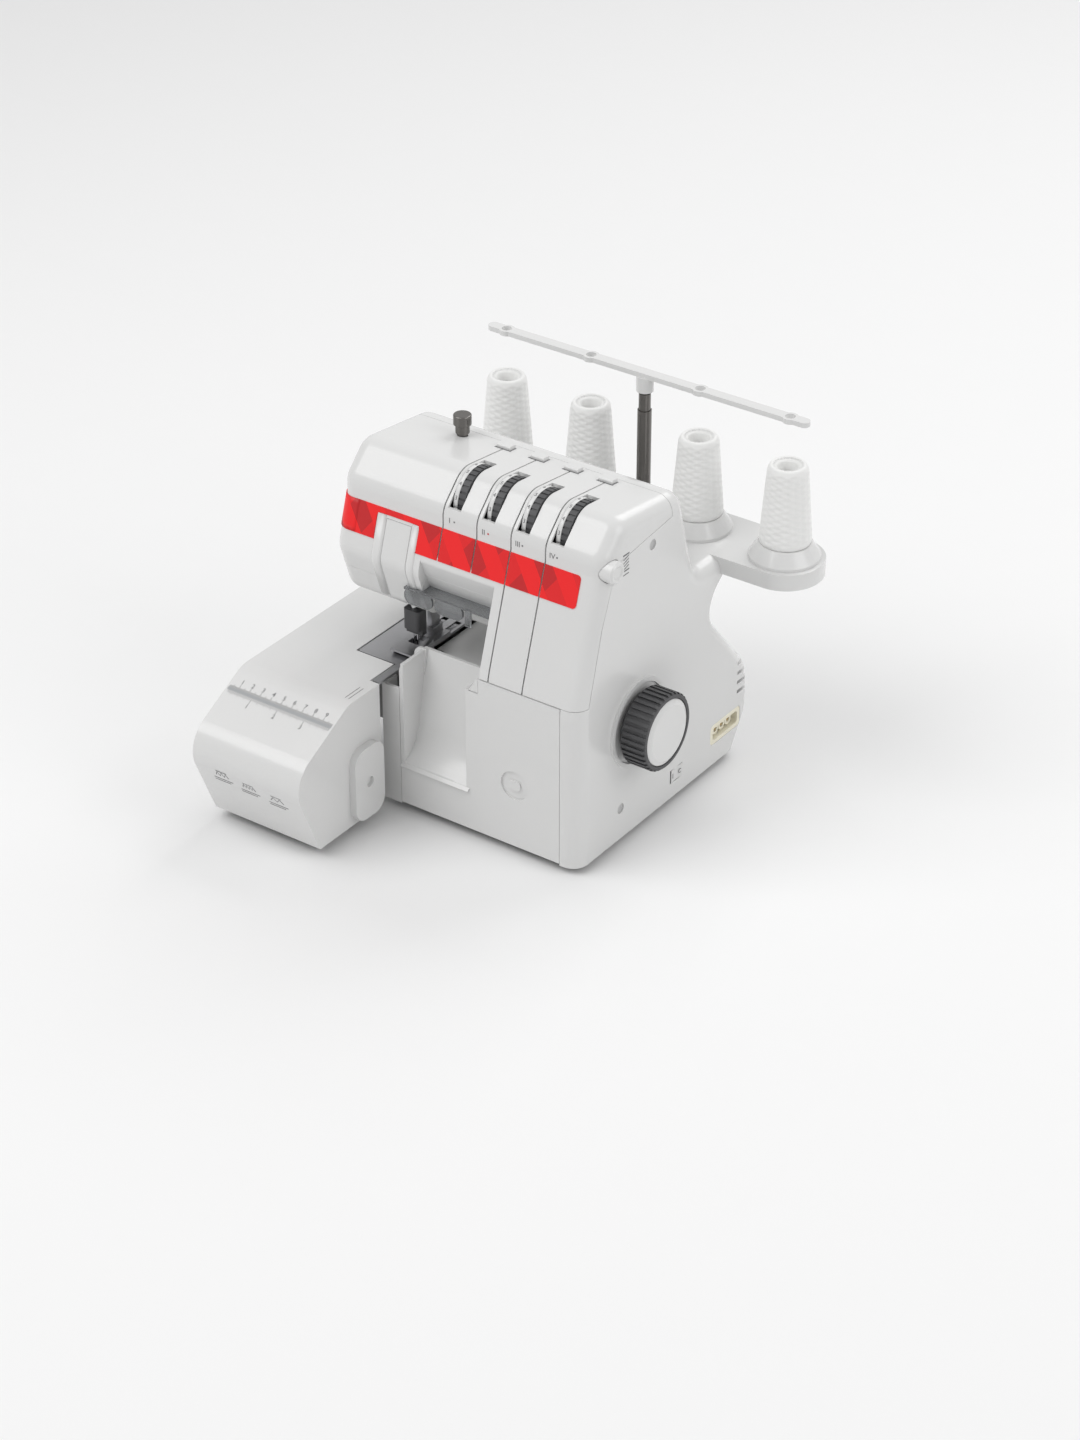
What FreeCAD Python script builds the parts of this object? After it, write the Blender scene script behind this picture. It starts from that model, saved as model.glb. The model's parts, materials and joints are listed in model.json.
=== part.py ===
"""Four-thread serger (overlock sewing machine), as a parametric document in millimetres.

X runs to the handwheel side, Y to the back and Z up.
The origin is on the table under the middle of the machine.
"""
import FreeCAD, Part
import math
import os
from types import SimpleNamespace

import Sketcher

Vector = FreeCAD.Vector

# Driving dimensions, all in millimetres
CASING_SIZES = {
    "wall": 2.6,
    "seam_gap": 0.4,
    "skirt_z": 6.0,
    "casing_right": 103.0,
    "column_left": 13.0,
    "throat_right_of_nose": -55.0,
    "head_left": -135.0,
    "bed_left": -77.0,
    "front_y": -68.5,
    "rear_y": 165.0,
    "bed_top": 111.5,
    "seam_z": 142.0,
    "panel_crease_y": -38.0,
    "panel_crease_z": 240.0,
    "panel_shoulder_z": 254.0,
    "top_front_y": -14.0,
    "top_front_z": 278.0,
    "top_rear_y": 66.0,
    "top_rear_z": 268.0,
    "head_bottom_z": 157.0,
    "head_rear_y": 82.0,
    "nose_z": 200.0,
    "head_rear_z": 205.0,
    "head_under_rear_y": 76.0,
    "head_bottom_front_y": -36.0,
    "column_rear_y": 88.0,
    "gusset_rear_y": 134.0,
    "waist_y": 101.0,
    "waist_z": 148.0,
    "bulge_top_z": 74.0,
    "bulge_low_z": 34.0,
    "rear_bottom_y": 148.0,
    "bed_rear_y": 130.0,
    "take_up_left": -90.0,
    "take_up_right": -67.5,
    "take_up_top": 231.5,
    "take_up_bottom": 164.0,
    "band_bottom_z": 214.5,
    "band_top_z": 238.5,
    "band_left": -122.0,
    "band_right": 84.0,
    "band_thickness": 0.6,
    "band_corner": 3.0,
    "band_notch_left": -99.0,
    "band_notch_right": -60.0,
    "band_notch_top": 234.5,
    "soffit_front_z": 210.0,
    "soffit_back_y": -24.0,
    "end_round": 12.0,
    "side_round": 13.0,
    "rear_round": 9.0,
    "cover_seam_y": 49.5,
    "button_y": -27.0,
    "button_z": 243.0,
    "button_radius": 8.8,
    "button_clearance": 0.4,
    "button_travel": 4.0,
    "button_reach": 3.0,
    "upper_plug_y": 24.5,
    "upper_plug_z": 242.0,
    "lower_plug_y": -12.5,
    "lower_plug_z": 33.0,
    "plug_radius": 4.2,
    "inlet_y": 131.5,
    "inlet_z": 33.0,
    "inlet_width": 42.0,
    "inlet_height": 18.0,
    "inlet_depth": 16.0,
    "inlet_fit": 0.2,
    "inlet_pin_radius": 1.2,
    "inlet_pin_pitch": 9.0,
    "switch_y": 63.0,
    "switch_z": 25.0,
    "switch_length": 17.0,
    "switch_height": 12.0,
    "vent_front_y": 147.0,
    "vent_first_z": 54.0,
    "vent_pitch": 8.5,
    "vent_height": 3.0,
}

STAND_SIZES = {
    "stand_left": -148.5,
    "stand_right": 170.5,
    "stand_front": 118.5,
    "stand_rear": 180.5,
    "stand_top": 188.0,
    "stand_thickness": 13.5,
    "mast_x": 11.0,
    "inner_spool_offset": 49.5,
    "outer_spool_offset": 128.5,
    "cone_holder_radius": 27.5,
    "cone_holder_height": 13.0,
    "cone_base_radius": 20.5,
    "cone_top_radius": 15.5,
    "cone_height": 64.0,
    "cone_bore_radius": 8.0,
    "spool_pin_radius": 3.0,
    "spool_pin_height": 62.0,
    "mast_radius": 5.5,
    "mast_wall": 0.75,
    "mast_top": 273.0,
    "mast_step": 14.0,
    "guide_bar_length": 290.0,
    "guide_bar_width": 9.0,
    "guide_bar_thickness": 4.0,
    "guide_ring_radius": 4.0,
    "guide_ring_wall": 2.2,
    "slide_clearance": 0.08,
}

DRIVE_SIZES = {
    "shaft_y": 8.5,
    "shaft_z": 99.0,
    "shaft_radius": 6.0,
    "bush_wall": 2.0,
    "running_clearance": 0.05,
    "handwheel_radius": 31.0,
    "handwheel_width": 24.0,
    "handwheel_gap": 2.5,
    "handwheel_face_radius": 26.5,
    "handwheel_rib_depth": 1.4,
    "handwheel_bevel": 1.6,
    "collar_bore": 32.5,
    "collar_radius": 36.0,
    "collar_height": 2.0,
    "pulley_radius": 34.0,
    "pulley_width": 10.0,
    "motor_pulley_radius": 8.5,
    "motor_y": 98.0,
    "motor_z": 47.0,
    "motor_radius": 28.0,
    "motor_length": 70.0,
    "motor_shaft_radius": 3.0,
    "belt_thickness": 1.8,
    "belt_clearance": 0.35,
    "frame_wall_left": 22.0,
    "frame_wall_thickness": 8.0,
    "foot_radius": 9.0,
    "base_plate_thickness": 3.0,
    "base_front_y": -50.0,
    "base_rear_y": 137.0,
    "base_margin": 4.0,
    "pulley_left": 79.0,
    "motor_plate_thickness": 3.0,
    "shaft_left": -44.0,
    "shaft_lug_width": 8.0,
    "beam_front": 24.0,
    "beam_rear": 40.8,
    "beam_height": 23.0,
    "head_arm_bottom": 222.0,
    "head_arm_top": 250.0,
    "head_arm_rear": 46.0,
    "needle_block_left": -94.0,
    "needle_block_right": -64.0,
    "needle_block_bottom": 200.0,
    "needle_block_front": -34.0,
    "arm_wall": 3.0,
}

SEWING_SIZES = {
    "needle_x": -80.0,
    "needle_y": -22.0,
    "needle_bar_radius": 3.6,
    "needle_bar_bottom": 150.0,
    "needle_bar_length": 78.0,
    "needle_radius": 0.6,
    "needle_length": 30.0,
    "needle_spacing": 4.0,
    "plate_top": 116.0,
    "plate_thickness": 2.0,
    "plate_left": -112.0,
    "plate_right": -70.0,
    "plate_tongue_width": 6.5,
    "plate_tongue_front": -81.0,
    "presser_arm_x": -78.0,
    "presser_arm_thickness": 4.0,
    "presser_pivot_y": 58.0,
    "presser_pivot_z": 186.0,
    "pressure_screw_y": 38.0,
    "pressure_screw_radius": 4.0,
    "pin_radius": 3.0,
    "clamp_height": 22.0,
    "clamp_width": 15.0,
    "feed_front": -12.0,
    "feed_rear": 24.0,
    "feed_travel": 2.0,
    "foot_height": 11.0,
    "lifter_y": 62.0,
    "lifter_z": 148.0,
    "lifter_length": 42.0,
    "spring_radius": 6.0,
    "visor_left": -70.0,
    "visor_right": 8.0,
    "visor_front": -48.0,
    "visor_back": -35.8,
    "visor_top": 183.5,
    "visor_drop": 13.0,
    "visor_thickness": 2.0,
    "visor_gap": 2.0,
    "visor_plug_width": 5.0,
    "knife_x": -65.0,
    "knife_thickness": 2.5,
    "knife_pivot_y": 14.0,
    "knife_pivot_z": 78.0,
    "lower_looper_x": -100.0,
    "upper_looper_x": -56.5,
    "looper_shaft_z": 74.0,
    "looper_shaft_radius": 4.0,
    "slot_pitch": 30.6,
    "first_slot_x": -40.0,
    "slot_width": 1.2,
    "dial_radius": 24.0,
    "dial_width": 10.0,
    "dial_offset": 9.0,
    "dial_scale_width": 4.0,
    "dial_groove_depth": 0.9,
    "dial_y": -6.6,
    "dial_z": 254.0,
    "tension_post_radius": 2.0,
}

TABLE_SIZES = {
    "table_left": -170.5,
    "table_right": -69.0,
    "table_nose_y": -187.641,
    "table_nose_z": 80.0,
    "table_front_foot_y": -158.0,
    "table_bottom_z": 9.0,
    "table_slope_y": -119.5,
    "table_shelf_y": -82.0,
    "table_rear_y": 60.0,
    "table_wall": 2.5,
    "table_nose_round": 26.0,
    "table_slope_round": 25.0,
    "table_skirt_z": 56.0,
    "lug_front": -121.0,
    "lug_rear": -86.0,
    "lug_low": 12.0,
    "lug_high": 74.0,
    "lug_round": 12.0,
    "lug_width": 6.0,
    "arm_left": -130.0,
    "arm_front": -52.0,
    "arm_rear": 44.0,
    "arm_bottom": 62.0,
    "arm_clearance": 0.8,
    "cover_left": -60.5,
    "cover_right": 86.0,
    "cover_gap": 0.4,
    "cover_bottom_z": 7.5,
    "hinge_rod_radius": 2.5,
    "hinge_rod_y": -61.0,
    "hinge_rod_z": 17.0,
    "scoop_left": -57.0,
    "scoop_right": 1.0,
    "scoop_bottom_z": 44.0,
    "scoop_top_z": 130.0,
    "scoop_depth": 30.0,
    "finger_recess_x": 45.0,
    "finger_recess_z": 61.0,
    "finger_recess_radius": 12.0,
    "finger_recess_depth": 1.4,
    "finger_grip_width": 11.0,
    "finger_grip_height": 8.0,
}


class Size:
    """A length that carries both its formula in the sheet and its present value."""

    def __init__(self, text, value):
        self.text = text
        self.value = value

    def joined(self, sign, other, value):
        return Size("(%s %s %s)" % (self.text, sign, as_size(other).text), value)

    def __add__(self, other):
        return self.joined("+", other, self.value + as_size(other).value)

    def __sub__(self, other):
        return self.joined("-", other, self.value - as_size(other).value)

    def __mul__(self, other):
        return self.joined("*", other, self.value * as_size(other).value)

    def __truediv__(self, other):
        return self.joined("/", other, self.value / as_size(other).value)

    def __radd__(self, other):
        return as_size(other) + self

    def __rsub__(self, other):
        return as_size(other) - self

    def __rmul__(self, other):
        return as_size(other) * self

    def __neg__(self):
        return as_size(0) - self


def as_size(number):
    """Give a plain number the same form as a size from the sheet."""
    if isinstance(number, Size):
        return number
    return Size("%.6g" % number if number >= 0 else "(0 - %.6g)" % -number, float(number))


doc = FreeCAD.newDocument("serger")
sheet = doc.addObject("Spreadsheet::Sheet", "Sizes")
all_sizes = {**CASING_SIZES, **STAND_SIZES, **DRIVE_SIZES, **SEWING_SIZES, **TABLE_SIZES}
for row, (alias, value) in enumerate(all_sizes.items(), start=1):
    sheet.set("A%d" % row, alias)
    sheet.set("B%d" % row, "%g" % value)
    sheet.setAlias("B%d" % row, alias)
doc.recompute()
d = SimpleNamespace(**{alias: Size("Sizes." + alias, value) for alias, value in all_sizes.items()})

# Sketching and forming helpers
PLANES = {"x": "YZ_Plane", "y": "XZ_Plane", "z": "XY_Plane"}
TURN_FROM_Z = {
    "x": FreeCAD.Rotation(Vector(0, 1, 0), 90),
    "y": FreeCAD.Rotation(Vector(1, 0, 0), -90),
    "z": FreeCAD.Rotation(),
}
nodes = []


class Round:
    """A circle in a sketch: its centre and its radius."""

    def __init__(self, u, v, radius):
        self.u = as_size(u)
        self.v = as_size(v)
        self.radius = as_size(radius)


def new_body(label):
    """Start a sub-part and list it for writing."""
    body = doc.addObject("PartDesign::Body", label)
    body.Label = label
    nodes.append(body)
    return body


def bind_constraint(sketch, constraint, size):
    """Add a dimension to a sketch and tie it to the sheet."""
    index = sketch.addConstraint(constraint)
    sketch.setExpression("Constraints[%d]" % index, size.text)


def fix_point(sketch, geometry, point, u, v):
    """Hold a sketch point at signed distances from the sketch's origin."""
    bind_constraint(sketch, Sketcher.Constraint("DistanceX", -1, 1, geometry, point, u.value), u)
    bind_constraint(sketch, Sketcher.Constraint("DistanceY", -1, 1, geometry, point, v.value), v)


def draw_circle(sketch, circle):
    """Draw one circle, held at its centre and radius."""
    centre = Vector(circle.u.value, circle.v.value, 0)
    index = sketch.addGeometry(Part.Circle(centre, Vector(0, 0, 1), circle.radius.value), False)
    fix_point(sketch, index, 3, circle.u, circle.v)
    bind_constraint(sketch, Sketcher.Constraint("Radius", index, circle.radius.value), circle.radius)


def draw_outline(sketch, corners):
    """Draw a closed outline of straight runs; a third value in a corner rounds it with a tangent arc."""
    corners = [tuple(as_size(part) for part in corner) for corner in corners]
    points = [Vector(corner[0].value, corner[1].value, 0) for corner in corners]
    count = len(corners)
    ends = []
    for index, corner in enumerate(corners):
        point = points[index]
        if len(corner) < 3:
            ends.append((point, point, None))
            continue
        back = (points[index - 1] - point).normalize()
        ahead = (points[(index + 1) % count] - point).normalize()
        half_angle = back.getAngle(ahead) / 2
        reach = corner[2].value / math.tan(half_angle)
        middle = (back + ahead).normalize() * (corner[2].value * (1 / math.sin(half_angle) - 1))
        ends.append((point + back * reach, point + ahead * reach, point + middle))
    lines = []
    for index in range(count):
        run = Part.LineSegment(ends[index][1], ends[(index + 1) % count][0])
        lines.append(sketch.addGeometry(run, False))
    for index, corner in enumerate(corners):
        before = lines[index - 1]
        after = lines[index]
        first, last, middle = ends[index]
        if middle is None:
            sketch.addConstraint(Sketcher.Constraint("Coincident", before, 2, after, 1))
            fix_point(sketch, after, 1, corner[0], corner[1])
            continue
        arc = sketch.addGeometry(Part.Arc(first, middle, last), False)
        start, stop = (1, 2) if sketch.getPoint(arc, 1).isEqual(first, 1e-6) else (2, 1)
        sketch.addConstraint(Sketcher.Constraint("Tangent", before, 2, arc, start))
        sketch.addConstraint(Sketcher.Constraint("Tangent", arc, stop, after, 1))
        bind_constraint(sketch, Sketcher.Constraint("Radius", arc, corner[2].value), corner[2])
        mark = sketch.addGeometry(Part.Point(points[index]), True)
        sketch.addConstraint(Sketcher.Constraint("PointOnObject", mark, 1, before))
        sketch.addConstraint(Sketcher.Constraint("PointOnObject", mark, 1, after))
        fix_point(sketch, mark, 1, corner[0], corner[1])


def new_sketch(body, axis, offset, shapes):
    """Put outlines and circles on the plane square to an axis, at a distance along that axis."""
    sketch = body.newObject("Sketcher::SketchObject", body.Label + "_sketch")
    plane = next(face for face in body.Origin.OriginFeatures if face.Role == PLANES[axis])
    sketch.AttachmentSupport = [(plane, "")]
    sketch.MapMode = "FlatFace"
    offset = -as_size(offset) if axis == "y" else as_size(offset)
    sketch.setExpression("AttachmentOffset.Base.z", offset.text)
    for shape in shapes:
        if isinstance(shape, Round):
            draw_circle(sketch, shape)
        else:
            draw_outline(sketch, shape)
    return sketch


def extrude(body, kind, axis, low, high, shapes):
    """Carry a sketch from low to high along an axis, as added or removed material."""
    low = as_size(low)
    high = as_size(high)
    sketch = new_sketch(body, axis, high if axis == "y" else low, shapes)
    feature = body.newObject(kind, body.Label + "_" + kind.split("::")[1].lower())
    feature.Profile = sketch
    feature.setExpression("Length", (high - low).text)
    if kind == "PartDesign::Pocket":
        feature.Reversed = True
    return feature


def pad(body, axis, low, high, *shapes):
    """Add material between two stations along an axis."""
    return extrude(body, "PartDesign::Pad", axis, low, high, shapes)


def cut(body, axis, low, high, *shapes):
    """Remove material between two stations along an axis, and make sure that some came away."""
    doc.recompute()
    before = body.Shape.Volume
    feature = extrude(body, "PartDesign::Pocket", axis, low, high, shapes)
    doc.recompute()
    if not body.Shape.Volume < before - 1e-3:
        raise ValueError("nothing was cut from " + body.Label)
    return feature


def turn(body, corners, kind="PartDesign::Revolution"):
    """Turn an outline of radius and height about the sub-part's own Z axis."""
    sketch = new_sketch(body, "y", 0, [corners])
    feature = body.newObject(kind, body.Label + "_turned")
    feature.Profile = sketch
    feature.ReferenceAxis = (sketch, ["V_Axis"])
    feature.Angle = 360
    return feature


def place(body, x, y, z, axis="z"):
    """Stand a sub-part's own Z axis along an axis of the machine, at a point."""
    body.Placement = FreeCAD.Placement(Vector(), TURN_FROM_Z[axis])
    for name, size in zip("xyz", (x, y, z)):
        body.setExpression("Placement.Base." + name, as_size(size).text)


def round_edges(body, radius, picks):
    """Round the edges of the finished form that a test picks."""
    doc.recompute()
    base = body.Tip
    names = ["Edge%d" % (i + 1) for i, edge in enumerate(base.Shape.Edges) if picks(edge)]
    feature = body.newObject("PartDesign::Fillet", body.Label + "_round")
    feature.Base = (base, names)
    feature.setExpression("Radius", as_size(radius).text)
    return feature


def box(left, right, low, high, radius=None):
    """A rectangle's corners, rounded if a radius is given."""
    ends = ((left, low), (right, low), (right, high), (left, high))
    if radius is None:
        return list(ends)
    return [(u, v, radius) for u, v in ends]

# Moulded casing


def lean_at(height):
    """Y of the leaning front panel at a height between the seam and the crease."""
    rise = (height - d.seam_z) / (d.panel_crease_z - d.seam_z)
    return d.front_y + (d.panel_crease_y - d.front_y) * rise


def crown(inset):
    """Corners of the panel's shoulder and the top, from the crease to the rear of the top."""
    return [
        (d.panel_crease_y + inset, d.panel_crease_z, 5),
        (d.panel_crease_y + inset, d.panel_shoulder_z, 16 - inset),
        (d.top_front_y, d.top_front_z - inset, 20 - inset),
        (d.top_rear_y - inset, d.top_rear_z - inset, 16 - inset),
    ]


def column_outline():
    """Side view of the base, the column and the bracket that carries the spool stand."""
    return [
        (d.front_y, d.skirt_z),
        (d.front_y, d.seam_z, 60),
        *crown(0),
        (d.column_rear_y, d.stand_top, 16),
        (d.stand_front, d.stand_top),
        (d.stand_front, d.stand_top - d.stand_thickness),
        (d.gusset_rear_y, d.stand_top - d.stand_thickness),
        (d.waist_y, d.waist_z, 22),
        (d.rear_y, d.bulge_top_z, 40),
        (d.rear_y, d.bulge_low_z, 20),
        (d.rear_bottom_y, d.skirt_z),
    ]


def column_hollow(inset):
    """Side view of the space inside the base and the column, open below."""
    return [
        (d.front_y + inset, d.skirt_z - 1),
        (d.front_y + inset, d.seam_z, 60),
        *crown(inset),
        (d.column_rear_y - inset * 2, d.stand_top, 40),
        (d.waist_y - inset * 3, d.waist_z, 30),
        (d.rear_y - inset, d.bulge_top_z, 30),
        (d.rear_y - inset, d.bulge_low_z, 10),
        (d.rear_bottom_y - inset, d.skirt_z - 1),
    ]


def head_outline(inset):
    """Side view of the sewing head with its rounded nose."""
    return [
        (lean_at(d.nose_z) + inset, d.nose_z, 18 - inset),
        *crown(inset),
        (d.head_rear_y - inset, d.head_rear_z, 16 - inset),
        (d.head_under_rear_y - inset, d.head_bottom_z + inset, 15 - inset),
        (d.head_bottom_front_y + inset / 2, d.head_bottom_z + inset, 15 - inset),
    ]


def soffit_outline(inset):
    """Side view of the head above the open throat, where the front is cut back below."""
    return [
        (lean_at(d.soffit_front_z) + inset, d.soffit_front_z + inset, 4),
        *crown(inset),
        (d.head_rear_y - inset, d.head_rear_z, 16 - inset),
        (d.head_under_rear_y - inset, d.head_bottom_z + inset, 15 - inset),
        (d.soffit_back_y + inset, d.head_bottom_z + inset, 8),
    ]


def bed_outline(inset, base_z):
    """Side view of the low bed left of the column."""
    return [
        (d.front_y + inset, base_z),
        (d.front_y + inset, d.bed_top - inset),
        (d.bed_rear_y, d.bed_top - inset, 12),
        (d.rear_y - 6 - inset, d.bulge_top_z, 30),
        (d.rear_y - 6 - inset, d.bulge_low_z, 18),
        (d.rear_bottom_y - 6 - inset, base_z),
    ]


def on_plane(edge, axis, station):
    """Tell whether an edge lies wholly on the plane at a station along an axis."""
    bounds = edge.BoundBox
    low, high = getattr(bounds, axis + "Min"), getattr(bounds, axis + "Max")
    return abs(low - station.value) < 1e-4 and abs(high - station.value) < 1e-4


def end_edges(station, under_stand):
    """Pick the right end's edges: those below the stand at the rear, or those of the front, top and back."""
    seat_z = d.stand_top.value - d.stand_thickness.value

    def picks(edge):
        if not on_plane(edge, "X", station) or edge.BoundBox.ZMax < d.skirt_z.value + 1e-4:
            return False
        below = edge.BoundBox.YMin > d.front_y.value / 2 and edge.BoundBox.ZMin < seat_z - 1e-4
        seat = edge.BoundBox.YMin > d.stand_front.value - 1e-4 and edge.BoundBox.ZMin > seat_z - 1e-4
        return not seat and below == under_stand

    return picks


def casing_form(body):
    """Raise the whole casing as one rounded hollow form, open below."""
    right_step = d.casing_right - d.side_round
    left_step = d.head_left + d.end_round
    joint_x = d.column_left + d.wall + 0.5
    pad(body, "x", d.column_left, d.casing_right, column_outline())
    round_edges(body, d.side_round, end_edges(d.casing_right, False))
    round_edges(body, d.rear_round, end_edges(d.casing_right, True))
    pad(body, "x", d.head_left, d.throat_right_of_nose, head_outline(0))
    round_edges(body, d.end_round, lambda edge: on_plane(edge, "X", d.head_left))
    pad(body, "x", d.throat_right_of_nose, d.column_left, soffit_outline(0))
    pad(body, "x", d.bed_left, d.column_left, bed_outline(0, d.skirt_z))
    cut(body, "x", d.column_left + d.wall, right_step + 0.5, column_hollow(d.wall))
    cut(body, "x", right_step, d.casing_right - d.wall, column_hollow(d.wall * 3))
    cut(body, "x", left_step, d.throat_right_of_nose - d.wall, head_outline(d.wall))
    cut(body, "x", d.head_left + d.wall, left_step + 0.5, head_outline(d.wall * 3))
    cut(body, "x", d.throat_right_of_nose - d.wall - 0.5, joint_x, soffit_outline(d.wall * 1.04))
    cut(body, "x", d.bed_left + d.wall, joint_x, bed_outline(d.wall, d.skirt_z - 1))


def cover_seam(gap):
    """Side view of the line where the front cover meets the housing, from the top down to the front."""
    return [
        (d.cover_seam_y - gap, d.top_front_z + 10),
        (d.cover_seam_y - gap, d.panel_shoulder_z + gap),
        (d.top_front_y - 8, d.panel_shoulder_z - 8 + gap),
        (lean_at(d.nose_z) + 11 - gap, d.nose_z),
        (d.front_y + 13 - gap, d.seam_z + gap),
        (d.front_y - 20, d.seam_z + gap),
    ]


def front_region(gap):
    """Side view of all that lies in front of the seam."""
    return [*cover_seam(gap), (d.front_y - 20, d.top_front_z + 10)]


def rear_region():
    """Side view of all that lies behind and below the seam."""
    below, behind = d.skirt_z - 16, d.rear_y + 20
    corners = [(d.front_y - 20, below), (behind, below), (behind, d.top_front_z + 10)]
    return [*cover_seam(d.seam_gap), *corners]


def slot_stations():
    """X of the four thread slots."""
    return [d.first_slot_x + d.slot_pitch * index for index in range(4)]


def dial_station(slot):
    """X of the middle of the tension dial beside a slot."""
    return slot + d.dial_offset


def take_up_window(gap):
    """Side view of the opening in the nose that the take-up cover closes."""
    return box(d.front_y - 10, d.panel_crease_y + 10 + gap, d.take_up_bottom - gap, d.take_up_top + gap)


def cut_shared_openings(body):
    """Openings that the seam crosses: the take-up cover's window and the release button's hole."""
    cut(body, "x", d.take_up_left - d.seam_gap, d.take_up_right + d.seam_gap, take_up_window(d.seam_gap))
    hole = Round(d.button_y, d.button_z, d.button_radius + d.button_clearance)
    cut(body, "x", d.casing_right - d.side_round - 5, d.casing_right + 1, hole)


def make_main_housing():
    """Base, right side, rear and stand bracket, moulded in one."""
    body = new_body("main_housing")
    casing_form(body)
    cut(body, "x", d.head_left - 1, d.casing_right + 1, front_region(0))
    cut_shared_openings(body)
    looper_window = box(d.cover_left - d.cover_gap, d.cover_right + d.cover_gap,
                        d.skirt_z - 1, d.seam_z + 1)
    cut(body, "y", d.front_y - 1, d.front_y + d.wall + 1, looper_window)
    scoop_room = box(d.bed_left - 1, d.scoop_right + 6, d.front_y - 1, d.front_y + d.scoop_depth + 8)
    cut(body, "z", d.bed_top - d.wall - 1, d.bed_top + 1, scoop_room)
    knife_room = box(d.bed_left - 1, d.knife_x + 3, d.front_y - 1, d.needle_y + 12)
    cut(body, "z", d.bed_top - d.wall - 1, d.bed_top + 1, knife_room)
    plate_room = box(d.bed_left - 1, d.plate_right + 1, d.arm_front - 1, d.arm_rear + 1)
    cut(body, "z", d.bed_top - d.wall - 1, d.bed_top + 1, plate_room)
    arm_room = box(d.arm_front - 1, d.arm_rear + 1, d.arm_bottom - 1, d.bed_top + 1)
    cut(body, "x", d.bed_left - 1, d.bed_left + d.wall + 1, arm_room)
    needle_window = box(d.take_up_left, d.throat_right_of_nose - d.wall - 0.5,
                        d.needle_y - 10, d.presser_pivot_y - 22)
    cut(body, "z", d.head_bottom_z - 2, d.head_bottom_z + 10, needle_window)
    collar = Round(d.shaft_y, d.shaft_z, d.collar_radius)
    collar_bore = Round(d.shaft_y, d.shaft_z, d.collar_bore)
    pad(body, "x", d.casing_right - 0.5, d.casing_right + d.collar_height, collar, collar_bore)
    wall_openings = [
        Round(d.shaft_y, d.shaft_z, d.shaft_radius + 2),
        Round(d.upper_plug_y, d.upper_plug_z, d.plug_radius),
        Round(d.lower_plug_y, d.lower_plug_z, d.plug_radius),
        box(d.inlet_y - d.inlet_width / 2, d.inlet_y + d.inlet_width / 2,
            d.inlet_z - d.inlet_height / 2, d.inlet_z + d.inlet_height / 2, 4),
        box(d.switch_y - d.switch_length / 2, d.switch_y + d.switch_length / 2,
            d.switch_z - d.switch_height / 2, d.switch_z + d.switch_height / 2),
    ]
    cut(body, "x", d.casing_right - d.side_round - 1, d.casing_right + 1, *wall_openings)
    vents = []
    for index in range(6):
        low = d.vent_first_z + d.vent_pitch * index
        vents.append(box(d.vent_front_y, d.rear_y + 2, low, low + d.vent_height))
    cut(body, "x", d.casing_right - d.side_round, d.casing_right + 1, *vents)


def make_front_cover():
    """Panel with the thread slots and dial windows, over the front and top of the head and column."""
    body = new_body("front_cover")
    casing_form(body)
    cut(body, "x", d.head_left - 1, d.casing_right + 1, rear_region())
    cut_shared_openings(body)
    for index, slot in enumerate(slot_stations()):
        foot_z = d.band_bottom_z + 2 if index < 2 else d.seam_z
        track = [
            (d.front_y - 10, foot_z),
            (d.front_y - 10, d.top_front_z + 5),
            (d.cover_seam_y - 9, d.top_front_z + 5),
            (d.cover_seam_y - 9, d.top_rear_z - 12),
            (d.top_front_y - 3, d.panel_shoulder_z + 2),
            (lean_at(d.nose_z) + 7, d.nose_z),
            (lean_at(foot_z) + 7, foot_z),
        ]
        cut(body, "x", slot - d.slot_width / 2, slot + d.slot_width / 2, track)
        middle = dial_station(slot)
        half = d.dial_width / 2 + 0.8
        window_rear = d.dial_y + d.dial_radius - 8
        window = box(d.panel_crease_y - 5, window_rear, d.panel_shoulder_z + 1, d.top_front_z + 5)
        cut(body, "x", middle - half, middle + half, window)
    screw_hole = Round(d.presser_arm_x, d.pressure_screw_y, d.pressure_screw_radius + 0.4)
    cut(body, "z", d.panel_shoulder_z, d.top_front_z + 2, screw_hole)


def make_take_up_cover():
    """Curved strip that closes the needle bar's window in the nose."""
    body = new_body("take_up_cover")
    pad(body, "x", d.take_up_left, d.take_up_right, head_outline(0))
    cut(body, "x", d.take_up_left - 1, d.take_up_right + 1, head_outline(d.wall))
    low_z = d.head_bottom_z - 5
    high_z = d.top_front_z + 5
    low_y = d.front_y - 10
    high_y = d.head_rear_y + 5
    cut(body, "x", d.take_up_left - 1, d.take_up_right + 1, box(d.panel_crease_y + 10, high_y, low_z, high_z))
    cut(body, "x", d.take_up_left - 1, d.take_up_right + 1, box(low_y, high_y, d.take_up_top, high_z))
    cut(body, "x", d.take_up_left - 1, d.take_up_right + 1, box(low_y, high_y, low_z, d.take_up_bottom))


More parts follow.
